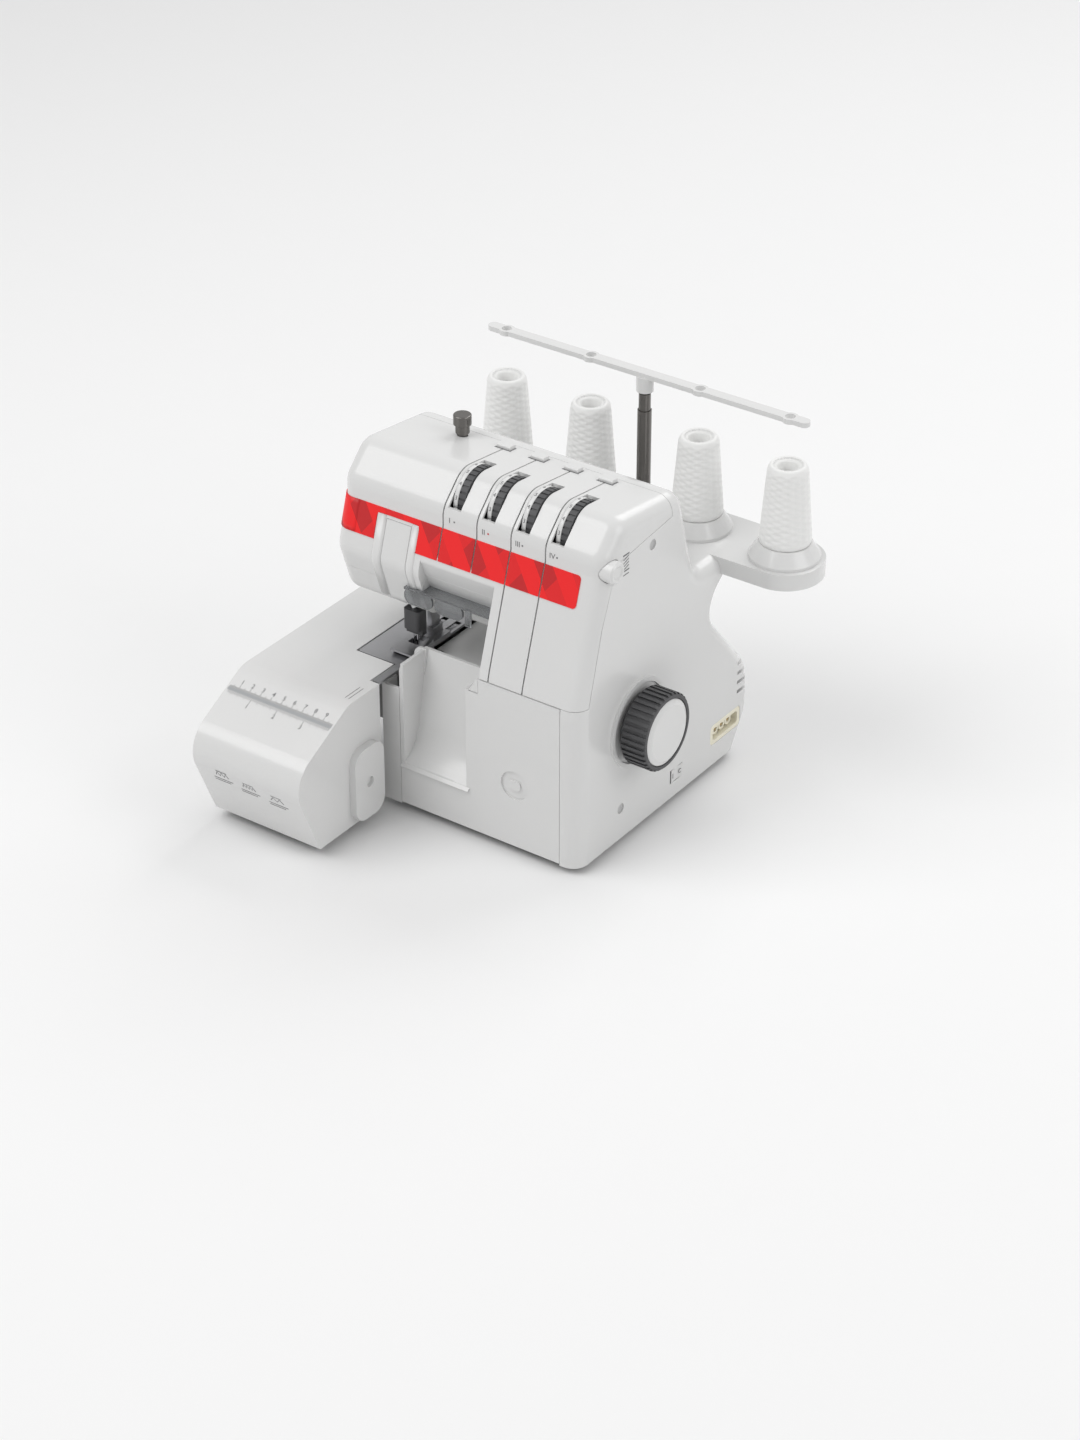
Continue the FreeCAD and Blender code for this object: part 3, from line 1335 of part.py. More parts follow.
def make_dial(index, middle):
    """Ribbed thumb wheel."""
    dial = new_body("tension_dial_%d" % index)
    section = tube(d.tension_post_radius + d.running_clearance, d.dial_radius, d.dial_width)
    turn(dial, section)
    groove_box = box(d.dial_radius - d.dial_groove_depth, d.dial_radius + 2, -0.8, 0.8)
    groove = cut(dial, "z", d.dial_scale_width, d.dial_width + 1, groove_box)
    ring = dial.newObject("PartDesign::PolarPattern", "dial_ribs")
    ring.Originals = [groove]
    ring.Axis = (next(item for item in dial.Origin.OriginFeatures if item.Role == "Z_Axis"), [""])
    ring.Angle = 360
    ring.Occurrences = 30
    dial.Tip = ring
    place(dial, middle - d.dial_width / 2, d.dial_y, d.dial_z, "x")


for make in (make_needle_group, make_plate_group, make_upper_knife, make_loopers):
    make()
for make in (make_presser, make_visor, make_tension):
    make()

# Table, looper cover and controls


def make_cloth_plate():
    """Slide-off table with a rolled front, hollow below, that slips over the free arm."""
    body = new_body("cloth_plate")
    top = d.plate_top
    right = d.bed_left - d.arm_clearance

    def front_form(inset, bottom):
        return [
            (d.table_front_foot_y + inset, bottom),
            (d.table_nose_y + inset, d.table_nose_z, d.table_nose_round - inset),
            (d.table_slope_y, top - inset, d.table_slope_round - inset),
            (d.table_shelf_y - inset, top - inset),
            (d.table_shelf_y - inset, bottom),
        ]

    pad(body, "x", d.table_left, d.table_right, front_form(0, d.table_bottom_z))
    wall = d.table_wall
    skirt = box(d.table_shelf_y - wall, d.table_rear_y, d.table_skirt_z, top)
    pad(body, "x", d.table_left, right, skirt)
    cut(body, "x", d.table_left + wall, d.table_right - wall, front_form(wall, d.table_bottom_z - 1))
    inside = box(d.table_shelf_y + 1, d.table_rear_y - wall, d.table_skirt_z - 1, top - wall)
    cut(body, "x", d.table_left + wall, right + 1, inside)
    gap = d.arm_clearance
    notch = box(d.plate_left - gap * 2, right + 1, d.arm_front - gap, d.arm_rear + gap)
    cut(body, "z", top - wall - 1, top + 1, notch)
    lug = new_body("side_lug")
    outline = box(d.lug_front, d.lug_rear, d.lug_low, d.lug_high, d.lug_round)
    pad(lug, "x", d.table_right, d.table_right + d.lug_width, outline)
    recess = Round((d.lug_front + d.lug_rear) / 2, (d.lug_low + d.lug_high) / 2, d.plug_radius)
    cut(lug, "x", d.table_right + d.lug_width / 2, d.table_right + d.lug_width + 1, recess)


def make_looper_cover():
    """Door over the loopers, with a scooped thumb well, that tips forward on the rod below."""
    body = new_body("looper_cover")
    wall = d.wall
    back = d.front_y + wall
    high = d.seam_z - d.cover_gap
    step = d.column_left - d.cover_gap
    panel = [
        (d.cover_left, d.cover_bottom_z),
        (d.cover_right, d.cover_bottom_z),
        (d.cover_right, high),
        (step, high),
        (step, d.scoop_top_z),
        (d.cover_left, d.scoop_top_z, 6),
    ]
    pad(body, "y", d.front_y, back, panel)
    well = [
        (d.scoop_left, d.scoop_bottom_z, 14),
        (d.scoop_right, d.scoop_bottom_z, 14),
        (d.scoop_right, d.scoop_top_z + 1),
        (d.scoop_left, d.scoop_top_z + 1),
    ]
    cut(body, "y", d.front_y - 1, back + 1, well)

    def scoop(inset):
        return [
            (d.front_y - inset, d.scoop_bottom_z - inset),
            (d.front_y + d.scoop_depth * 0.55 + inset, d.scoop_bottom_z + 12 - inset, 30),
            (d.front_y + d.scoop_depth + inset, d.scoop_top_z),
        ]

    sides = [*scoop(wall), (d.front_y + 0.5, d.scoop_top_z), (d.front_y + 0.5, d.scoop_bottom_z)]
    pad(body, "x", d.scoop_left - wall, d.scoop_right + wall, sides)
    hollow = [*scoop(0), (d.front_y + d.scoop_depth, d.scoop_top_z + 1), (d.front_y - 1, d.scoop_top_z + 1)]
    cut(body, "x", d.scoop_left, d.scoop_right, hollow)
    dish = Round(d.finger_recess_x, d.finger_recess_z, d.finger_recess_radius)
    half_width, half_height = d.finger_grip_width / 2, d.finger_grip_height / 2
    grip = box(d.finger_recess_x - half_width, d.finger_recess_x + half_width,
               d.finger_recess_z - half_height, d.finger_recess_z + half_height, 3)
    cut(body, "y", d.front_y - 1, d.front_y + d.finger_recess_depth, dish, grip)
    knuckle = d.hinge_rod_radius * 2
    for x in (d.cover_left + 8, d.cover_right - 16):
        web = box(d.front_y + 1, d.hinge_rod_y, d.hinge_rod_z - knuckle + 1, d.hinge_rod_z + knuckle - 1)
        pad(body, "x", x, x + 8, web)
        pad(body, "x", x, x + 8, Round(d.hinge_rod_y, d.hinge_rod_z, knuckle))
        bore = Round(d.hinge_rod_y, d.hinge_rod_z, d.hinge_rod_radius + d.running_clearance)
        cut(body, "x", x - 1, x + 9, bore)


def make_controls():
    """Release button, power rocker, inlet and plugs on the right side."""
    right = d.casing_right
    radius = d.button_radius
    length = d.side_round + d.button_reach
    button = [
        (0, 0), (radius, 0), (radius, length - 1.5), (radius - 1.5, length), (radius - 3, length),
        (radius - 4.5, length - 1), (0, length - 1),
    ]
    turned_piece("release_button", button, right - d.side_round + 2, d.button_y, d.button_z, "x")
    rocker = new_body("rocker_switch")
    reach = d.switch_length / 2 - 0.9
    low = d.switch_z - d.switch_height / 2 + 0.5
    high = d.switch_z + d.switch_height / 2 - 0.5
    outline = [
        (right - 7, d.switch_y - reach + 3), (right + 0.6, d.switch_y - reach), (right - 0.6, d.switch_y, 20),
        (right + 0.6, d.switch_y + reach), (right - 7, d.switch_y + reach - 3),
    ]
    pad(rocker, "z", low, high, outline)
    pad(rocker, "z", low - 0.3, high + 0.3, Round(right - 3, d.switch_y, 1.5))
    socket = new_body("inlet_socket")
    half_y = d.inlet_width / 2 - d.inlet_fit
    half_z = d.inlet_height / 2 - d.inlet_fit
    block = box(d.inlet_y - half_y, d.inlet_y + half_y, d.inlet_z - half_z, d.inlet_z + half_z, 3.8)
    pad(socket, "x", right - d.inlet_depth, right - d.inlet_fit, block)
    rim = 3.5
    well = box(d.inlet_y - half_y + rim, d.inlet_y + half_y - rim,
               d.inlet_z - half_z + rim, d.inlet_z + half_z - rim, 3)
    cut(socket, "x", right - d.inlet_depth + 4, right, well)
    pins = []
    for index in range(3):
        y = d.inlet_y + d.inlet_pin_pitch * (index - 1)
        pin = rod(d.inlet_pin_radius, d.inlet_depth - 8)
        pins.append(turned_piece("inlet_pin_%d" % index, pin, right - d.inlet_depth + 4, y, d.inlet_z, "x"))
    group("inlet_pins", pins)
    plugs = []
    for name, y, z in (("upper", d.upper_plug_y, d.upper_plug_z), ("lower", d.lower_plug_y, d.lower_plug_z)):
        section = rod(d.plug_radius - d.running_clearance, d.wall)
        plugs.append(turned_piece("screw_plug_" + name, section, right - d.wall - 1.2, y, z, "x"))
    group("screw_plugs", plugs)


for make in (make_cloth_plate, make_looper_cover, make_controls):
    make()

# Check every object, then write each sub-part
doc.recompute()
for item in doc.Objects:
    if "Invalid" in item.State or "Error" in item.State:
        raise ValueError("%s failed: %s" % (item.Label, item.getStatusString()))
os.makedirs("parts", exist_ok=True)
for node in nodes:
    if node.Shape.isNull() or not node.Shape.isValid():
        raise ValueError("%s has no valid shape" % node.Label)
for node in nodes:
    node.Shape.exportStep("parts/%s.step" % node.Label)
    print("%-22s solids %d  volume %.1f" % (node.Label, len(node.Shape.Solids), node.Shape.Volume))
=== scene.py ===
"""Dressed scene of a household overlock sewing machine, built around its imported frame.

The frame and all meshes are in metres: +X to the handwheel, +Y to the back, +Z up. Sizes and places below are
millimetres in the same axes, and MM carries them over.
"""
import json
import logging
import math
from dataclasses import dataclass
from enum import Enum
from typing import Sequence

import bpy
import numpy as np
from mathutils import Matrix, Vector


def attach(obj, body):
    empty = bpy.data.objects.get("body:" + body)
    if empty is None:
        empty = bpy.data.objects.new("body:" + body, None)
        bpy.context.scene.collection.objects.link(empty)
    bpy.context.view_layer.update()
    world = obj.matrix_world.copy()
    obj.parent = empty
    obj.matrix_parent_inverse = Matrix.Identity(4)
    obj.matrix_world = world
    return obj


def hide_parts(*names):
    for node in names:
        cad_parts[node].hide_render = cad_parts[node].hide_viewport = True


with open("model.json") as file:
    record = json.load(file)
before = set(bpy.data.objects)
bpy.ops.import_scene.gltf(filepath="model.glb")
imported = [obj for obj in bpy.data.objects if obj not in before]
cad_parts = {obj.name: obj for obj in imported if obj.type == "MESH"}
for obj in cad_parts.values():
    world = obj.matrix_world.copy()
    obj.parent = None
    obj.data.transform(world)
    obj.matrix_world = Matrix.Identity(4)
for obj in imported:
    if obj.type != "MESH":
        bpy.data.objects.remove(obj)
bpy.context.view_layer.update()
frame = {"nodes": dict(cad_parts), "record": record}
LOG = logging.getLogger("overlock")
MM = 0.001

Socket = bpy.types.NodeSocket
Colour = tuple[float, float, float]
Point = tuple[float, float, float]
Span = tuple[float, float]


# Shader node groups


class NodeTree:
    """Small helper that adds and wires shader nodes in one tree."""

    def __init__(self, tree: bpy.types.NodeTree) -> None:
        """Keep the tree.

        Args:
            tree: the material's or group's node tree.
        """
        self.tree = tree

    def add(self, kind: str, inputs: dict | None = None, **settings: object) -> bpy.types.Node:
        """Add a node and set or link its inputs.

        Args:
            kind: the node's type name, such as "ShaderNodeMath".
            inputs: input name or index to a plain value or to an output socket.
            settings: the node's own properties.

        Returns:
            The new node.
        """
        node = self.tree.nodes.new(kind)
        for name, value in settings.items():
            setattr(node, name, value)
        for key, value in (inputs or {}).items():
            socket = node.inputs[key]
            if isinstance(value, Socket):
                self.tree.links.new(value, socket)
            else:
                socket.default_value = value
        return node

    def math(self, operation: str, first: Socket | float, second: Socket | float) -> Socket:
        """Add a Math node of two values.

        Args:
            operation: the operation's name.
            first: number or socket.
            second: number or socket.

        Returns:
            The node's value socket.
        """
        return self.add("ShaderNodeMath", {0: first, 1: second}, operation=operation).outputs[0]

    def floor(self, value: Socket) -> Socket:
        """Round a value down.

        Args:
            value: the socket to round.

        Returns:
            The node's value socket.
        """
        return self.add("ShaderNodeMath", {0: value}, operation="FLOOR").outputs[0]

    def mix(self, factor: Socket | float, first: Socket | Sequence[float],
            second: Socket | Sequence[float]) -> Socket:
        """Mix two colours.

        Args:
            factor: number or socket, 0 for the first colour.
            first: colour or socket.
            second: colour or socket.

        Returns:
            The mixed colour's socket.
        """
        # The Mix node repeats its socket names for each data type: 0, 6, 7 and output 2 are for colours
        return self.add("ShaderNodeMix", {0: factor, 6: first, 7: second}, data_type="RGBA").outputs[2]


def new_group(name: str, inputs: dict[str, str], outputs: dict[str, str]) -> tuple[NodeTree, dict, dict]:
    """Start a shader node group with named sockets.

    Args:
        name: the group's name.
        inputs: socket name to socket type.
        outputs: socket name to socket type.

    Returns:
        The tree helper, the input sockets by name and the output sockets by name.
    """
    tree = bpy.data.node_groups.new(name, "ShaderNodeTree")
    for label, kind in inputs.items():
        tree.interface.new_socket(label, in_out="INPUT", socket_type=kind)
    for label, kind in outputs.items():
        tree.interface.new_socket(label, in_out="OUTPUT", socket_type=kind)
    entry = tree.nodes.new("NodeGroupInput")
    leave = tree.nodes.new("NodeGroupOutput")
    ins = {label: entry.outputs[label] for label in inputs}
    outs = {label: leave.inputs[label] for label in outputs}
    return NodeTree(tree), ins, outs


COLOUR, VALUE = "NodeSocketColor", "NodeSocketFloat"
SKIN_INPUTS = {"Colour": COLOUR, "Shade": COLOUR, "Scale": VALUE, "Rough": VALUE, "Spread": VALUE,
               "Streak": VALUE}
SKIN_OUTPUTS = {"Colour": COLOUR, "Roughness": VALUE, "Height": VALUE}
BROAD_SCALE = 22.0
BROAD_SHARE, FINE_SHARE = 0.6, 0.4
NOISE_MIDDLE = 0.5


def surface_group() -> bpy.types.NodeTree:
    """Build the group that all finishes share.

    Two noises on Object coordinates: a broad one and a fine one together drift the colour and the roughness,
    and the fine one is the grain's height. Streak stretches the fine noise along X, for brushed metal.

    Returns:
        The node group.
    """
    kit, ins, outs = new_group("surface_variation", SKIN_INPUTS, SKIN_OUTPUTS)
    place = kit.add("ShaderNodeTexCoord").outputs["Object"]
    stretch = kit.math("SUBTRACT", 1.0, ins["Streak"])
    axes = kit.add("ShaderNodeCombineXYZ", {"X": stretch, "Y": 1.0, "Z": 1.0}).outputs[0]
    drawn = kit.add("ShaderNodeVectorMath", {0: place, 1: axes}, operation="MULTIPLY").outputs[0]
    broad = kit.add("ShaderNodeTexNoise", {"Vector": place, "Scale": BROAD_SCALE, "Detail": 3.0}).outputs[0]
    fine = kit.add("ShaderNodeTexNoise", {"Vector": drawn, "Scale": ins["Scale"], "Detail": 2.0}).outputs[0]
    shade = kit.math("ADD", kit.math("MULTIPLY", broad, BROAD_SHARE), kit.math("MULTIPLY", fine, FINE_SHARE))
    drift = kit.math("SUBTRACT", shade, NOISE_MIDDLE)
    rough = kit.math("ADD", ins["Rough"], kit.math("MULTIPLY", drift, ins["Spread"]))
    kit.tree.links.new(kit.mix(shade, ins["Colour"], ins["Shade"]), outs["Colour"])
    kit.tree.links.new(rough, outs["Roughness"])
    kit.tree.links.new(fine, outs["Height"])
    return kit.tree


SURFACE = surface_group()


# Finishes


class Sheen(Enum):
    """How a finish takes light: its name, with the metallic and the coat weight that go with it."""

    MATT = (0.0, 0.0)
    LACQUER = (0.0, 0.22)
    METAL = (1.0, 0.0)


COAT_ROUGHNESS = 0.08
BUMP_DISTANCE = 0.001


def rgba(colour: Sequence[float]) -> tuple[float, float, float, float]:
    """Add a full alpha to a colour.

    Args:
        colour: red, green and blue.

    Returns:
        Red, green, blue and alpha.
    """
    return (*colour, 1.0)


@dataclass(frozen=True)
class Finish:
    """A solid finish: its two tints, its gloss and its grain."""

    name: str
    colour: Colour
    shade: Colour
    rough: float = 0.35
    spread: float = 0.1
    grain: float = 900.0
    relief: float = 0.02
    streak: float = 0.0
    sheen: Sheen = Sheen.MATT

    def start(self) -> tuple[NodeTree, bpy.types.Node, bpy.types.Node]:
        """Make the material with its shader and the shared surface group.

        Returns:
            The tree helper, the shader node and the surface group node.
        """
        material = bpy.data.materials.new(self.name)
        material.use_nodes = True
        kit = NodeTree(material.node_tree)
        shader = material.node_tree.nodes["Principled BSDF"]
        metallic, coat = self.sheen.value
        shader.inputs["Metallic"].default_value = metallic
        shader.inputs["Coat Weight"].default_value = coat
        shader.inputs["Coat Roughness"].default_value = COAT_ROUGHNESS
        # The group's tree is set before its inputs, because they come with it
        skin = kit.add("ShaderNodeGroup", {"Colour": rgba(self.colour), "Shade": rgba(self.shade),
                                           "Scale": self.grain, "Rough": self.rough, "Spread": self.spread,
                                           "Streak": self.streak}, node_tree=SURFACE)
        return kit, shader, skin

    def wire(self, kit: NodeTree, shader: bpy.types.Node, skin: bpy.types.Node,
             colour: Socket | None = None) -> bpy.types.Material:
        """Wire the group into the shader.

        Args:
            kit: the tree helper.
            shader: the shader node.
            skin: the surface group node.
            colour: a colour socket that takes the place of the group's own.

        Returns:
            The material.
        """
        link = kit.tree.links.new
        link(colour or skin.outputs["Colour"], shader.inputs["Base Color"])
        link(skin.outputs["Roughness"], shader.inputs["Roughness"])
        bump = kit.add("ShaderNodeBump", {"Strength": self.relief, "Distance": BUMP_DISTANCE,
                                          "Height": skin.outputs["Height"]})
        link(bump.outputs[0], shader.inputs["Normal"])
        return bpy.data.materials[self.name]

    def make(self) -> bpy.types.Material:
        """Make the material.

        Returns:
            The new material.
        """
        return self.wire(*self.start())

    def material(self) -> bpy.types.Material:
        """Give the material, made on first use.

        Returns:
            The material.
        """
        return bpy.data.materials.get(self.name) or self.make()


@dataclass(frozen=True)
class FacetFinish(Finish):
    """A lacquer with a harlequin of slanted tiles in three tints."""

    deep: Colour = (0.32, 0.004, 0.008)
    tile: float = 0.017
    stretches: Span = (1.0, 1.6)
    slant: float = 0.75
    faint: float = 0.22
    strong: float = 0.5

    def make(self) -> bpy.types.Material:
        """Make the material: the parities of two slanted rows of stripes pick the tint of a tile.

        Returns:
            The new material.
        """
        kit, shader, skin = self.start()
        place = kit.add("ShaderNodeTexCoord").outputs["Object"]
        axes = kit.add("ShaderNodeSeparateXYZ", {0: place}).outputs
        lean = kit.math("MULTIPLY", axes["Z"], self.slant)
        picks = []
        for operation, stretch in zip(("ADD", "SUBTRACT"), self.stretches):
            across = kit.math(operation, axes["X"], lean)
            row = kit.floor(kit.math("DIVIDE", across, self.tile * stretch))
            picks.append(kit.math("FLOORED_MODULO", row, 2.0))
        both = kit.math("MULTIPLY", *picks)
        deep = rgba(self.deep)
        tint = kit.mix(kit.math("MULTIPLY", picks[0], self.faint), skin.outputs["Colour"], deep)
        return self.wire(kit, shader, skin, kit.mix(kit.math("MULTIPLY", both, self.strong), tint, deep))


@dataclass(frozen=True)
class TintedFinish(Finish):
    """A clear tinted plastic."""

    clearness: float = 0.8
    index: float = 1.49

    def make(self) -> bpy.types.Material:
        """Make the material with light passing through it.

        Returns:
            The new material.
        """
        kit, shader, skin = self.start()
        shader.inputs["Transmission Weight"].default_value = self.clearness
        shader.inputs["IOR"].default_value = self.index
        return self.wire(kit, shader, skin)


WHITE = Finish("white_lacquer", (0.73, 0.73, 0.725), (0.70, 0.70, 0.695), rough=0.24, spread=0.05,
               relief=0.01, sheen=Sheen.LACQUER)
CHARCOAL = Finish("charcoal_grip", (0.055, 0.055, 0.058), (0.075, 0.075, 0.078), rough=0.5, spread=0.15,
                  grain=2600.0, relief=0.08)
CREAM = Finish("cream_socket", (0.86, 0.82, 0.68), (0.82, 0.78, 0.63), rough=0.45, relief=0.03)
# Grey caps sunk in the screw holes: their flat grey is partly painted shade, standing in for the shadow
# inside the holes.
GREY_AND_SHADE = Finish("grey_cap", (0.36, 0.36, 0.36), (0.32, 0.32, 0.32), rough=0.5, relief=0.03)
STEEL = Finish("brushed_steel", (0.42, 0.42, 0.43), (0.30, 0.30, 0.31), rough=0.32, spread=0.2, grain=1500.0,
               relief=0.06, streak=0.92, sheen=Sheen.METAL)
BRIGHT = Finish("polished_steel", (0.66, 0.66, 0.67), (0.52, 0.52, 0.53), rough=0.14, spread=0.08,
                relief=0.02, sheen=Sheen.METAL)
NICKEL = Finish("dark_nickel", (0.20, 0.19, 0.18), (0.13, 0.125, 0.12), rough=0.2, spread=0.1, grain=1400.0,
                relief=0.04, sheen=Sheen.METAL)
CASTING = Finish("cast_alloy", (0.42, 0.42, 0.42), (0.33, 0.33, 0.33), rough=0.55, grain=500.0, relief=0.2,
                 sheen=Sheen.METAL)
DARK_PAINT = Finish("dark_paint", (0.05, 0.05, 0.055), (0.07, 0.07, 0.075), rough=0.45, relief=0.05)
RUBBER = Finish("black_rubber", (0.02, 0.02, 0.02), (0.035, 0.035, 0.035), rough=0.75, relief=0.12)
BRASS = Finish("plain_brass", (0.55, 0.38, 0.14), (0.45, 0.3, 0.1), rough=0.3, sheen=Sheen.METAL)
THREAD = Finish("wound_thread", (0.86, 0.86, 0.85), (0.82, 0.82, 0.81), rough=0.7, grain=3000.0, relief=0.15)
# Grey print; the same finish also paints the shadow lines round the thread clips.
INK_AND_SHADE = Finish("grey_print_and_shade", (0.12, 0.12, 0.125), (0.16, 0.16, 0.165), rough=0.55, relief=0.02)
PALE_INK = Finish("pale_print", (0.34, 0.35, 0.36), (0.4, 0.41, 0.42), rough=0.55, relief=0.02)
RED_INK = Finish("red_print", (0.6, 0.02, 0.02), (0.5, 0.015, 0.015), rough=0.5, relief=0.02)
PAPER = Finish("floor_paper", (0.89, 0.89, 0.89), (0.88, 0.88, 0.88), rough=0.9, spread=0.02, relief=0.0)
RED = FacetFinish("red_lacquer", (0.90, 0.004, 0.006), (0.85, 0.003, 0.005), rough=0.46, spread=0.04,
                  relief=0.01)
SMOKE = TintedFinish("smoke_visor", (0.40, 0.41, 0.42), (0.36, 0.37, 0.38), rough=0.1, spread=0.04,
                     relief=0.01)

SLOT_FINISH: dict[str, Finish] = {
    "white_shell": WHITE, "charcoal": CHARCOAL, "cream": CREAM, "grey_cap": GREY_AND_SHADE, "steel": STEEL,
    "bright": BRIGHT, "casting": CASTING, "dark_paint": DARK_PAINT, "rubber": RUBBER, "brass": BRASS,
    "red_trim": RED, "thread": THREAD, "smoke": SMOKE,
}
NODE_FINISH: dict[str, Finish] = {
    "pressure_screw": NICKEL, "mast_outer": NICKEL, "mast_middle": NICKEL, "mast_inner": NICKEL,
}


def dress_nodes() -> None:
    """Give every node of the frame its own finish, or else that of its material slot."""
    slots = {entry["node"]: entry["material_slot"] for entry in frame["record"]["subparts"]}
    for name, node in frame["nodes"].items():
        finish = NODE_FINISH.get(name) or SLOT_FINISH[slots[name]]
        for slot in node.material_slots:
            slot.material = finish.material()
        LOG.info("%s wears %s", name, finish.name)


# Mesh helpers


def add_mesh(name: str, points: np.ndarray, faces: np.ndarray | list, finish: Finish, body: str,
             smooth: bool = True) -> bpy.types.Object:
    """Make a piece from points and faces, with its finish's material.

    Args:
        name: the piece's name.
        points: vertices in metres, one row each.
        faces: vertex indices of each face.
        finish: the piece's finish.
        body: the body that it rides on.
        smooth: whether its faces are shaded smooth.

    Returns:
        The new object.
    """
    mesh = bpy.data.meshes.new(name)
    mesh.from_pydata(points.tolist(), [], faces if isinstance(faces, list) else faces.tolist())
    mesh.polygons.foreach_set("use_smooth", np.full(len(mesh.polygons), smooth))
    mesh.materials.append(finish.material())
    piece = bpy.data.objects.new(name, mesh)
    bpy.context.collection.objects.link(piece)
    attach(piece, body)
    return piece


def grid_faces(rows: int, columns: int, wrap_rows: bool = False, wrap_columns: bool = False) -> np.ndarray:
    """Index the quads of a grid of points.

    Args:
        rows: points down the grid.
        columns: points across the grid.
        wrap_rows: whether the last row joins the first.
        wrap_columns: whether the last column joins the first.

    Returns:
        One row of four indices for each quad.
    """
    row = np.arange(rows if wrap_rows else rows - 1)[:, None]
    column = np.arange(columns if wrap_columns else columns - 1)[None, :]
    below, beside = (row + 1) % rows, (column + 1) % columns
    quads = np.stack([row * columns + column, row * columns + beside,
                      below * columns + beside, below * columns + column], axis=-1)
    return quads.reshape(-1, 4)


def slab(points: np.ndarray, normals: np.ndarray,
         thickness: float | np.ndarray) -> tuple[np.ndarray, np.ndarray]:
    """Thicken a grid of points into a closed sheet.

    The section of each row is a loop: the row itself, raised along its normals, then the row again below.

    Args:
        points: rows by columns by 3.
        normals: unit normals of the same shape.
        thickness: the sheet's thickness, even or for each point.

    Returns:
        The vertices and the faces.
    """
    rows, columns = points.shape[:2]
    loops = np.concatenate([points + normals * thickness, points[:, ::-1]], axis=1)
    faces = grid_faces(rows, columns * 2, wrap_columns=True)
    near = np.arange(columns - 1)
    cap = np.stack([near, columns * 2 - 1 - near, columns * 2 - 2 - near, near + 1], axis=-1)
    far = cap[:, ::-1] + (rows - 1) * columns * 2
    return loops.reshape(-1, 3), np.concatenate([faces, cap, far])


def unit_steps(path: np.ndarray) -> np.ndarray:
    """Give the direction of a path at each of its points.

    Args:
        path: points, one row each.

    Returns:
        Unit vectors, one row each.
    """
    along = np.gradient(path, axis=0)
    return along / np.linalg.norm(along, axis=1, keepdims=True)


def rounded_path(corners: Sequence[Point], steps: int) -> np.ndarray:
    """Sample an open run of straight lines whose inner corners are rounded.

    Args:
        corners: u, v and corner radius, in millimetres.
        steps: samples in each rounded corner.

    Returns:
        Points of u and v in millimetres.
    """
    spots = np.array([corner[:2] for corner in corners])
    share = np.linspace(0, 1, steps)[:, None]
    runs = [spots[:1]]
    for index in range(1, len(corners) - 1):
        spot, radius = spots[index], corners[index][2]
        back, ahead = spots[index - 1] - spot, spots[index + 1] - spot
        back, ahead = back / np.linalg.norm(back), ahead / np.linalg.norm(ahead)
        half = math.acos(float(np.clip(back @ ahead, -1, 1))) / 2
        reach = radius / math.tan(half)
        first, last = spot + back * reach, spot + ahead * reach
        middle = spot + (back + ahead) / np.linalg.norm(back + ahead) * radius / math.sin(half)
        chord = first + (last - first) * share - middle
        runs.append(middle + chord / np.linalg.norm(chord, axis=1, keepdims=True) * radius)
    return np.concatenate([*runs, spots[-1:]])


@dataclass(frozen=True)
class Sheet:
    """A flat place to print on: a point, the direction of reading and the direction up."""

    origin: Point
    right: Point
    up: Point
    lift: float = 0.06

    def world(self, flat: np.ndarray) -> np.ndarray:
        """Carry points from the sheet to the frame.

        Args:
            flat: points along the sheet's right, up and outward directions, in millimetres.

        Returns:
            Points in metres.
        """
        right, up = (np.array(axis) / np.linalg.norm(axis) for axis in (self.right, self.up))
        raised = (flat[:, 2:] + self.lift) * np.cross(right, up)
        return (np.array(self.origin) + flat[:, :1] * right + flat[:, 1:2] * up + raised) * MM


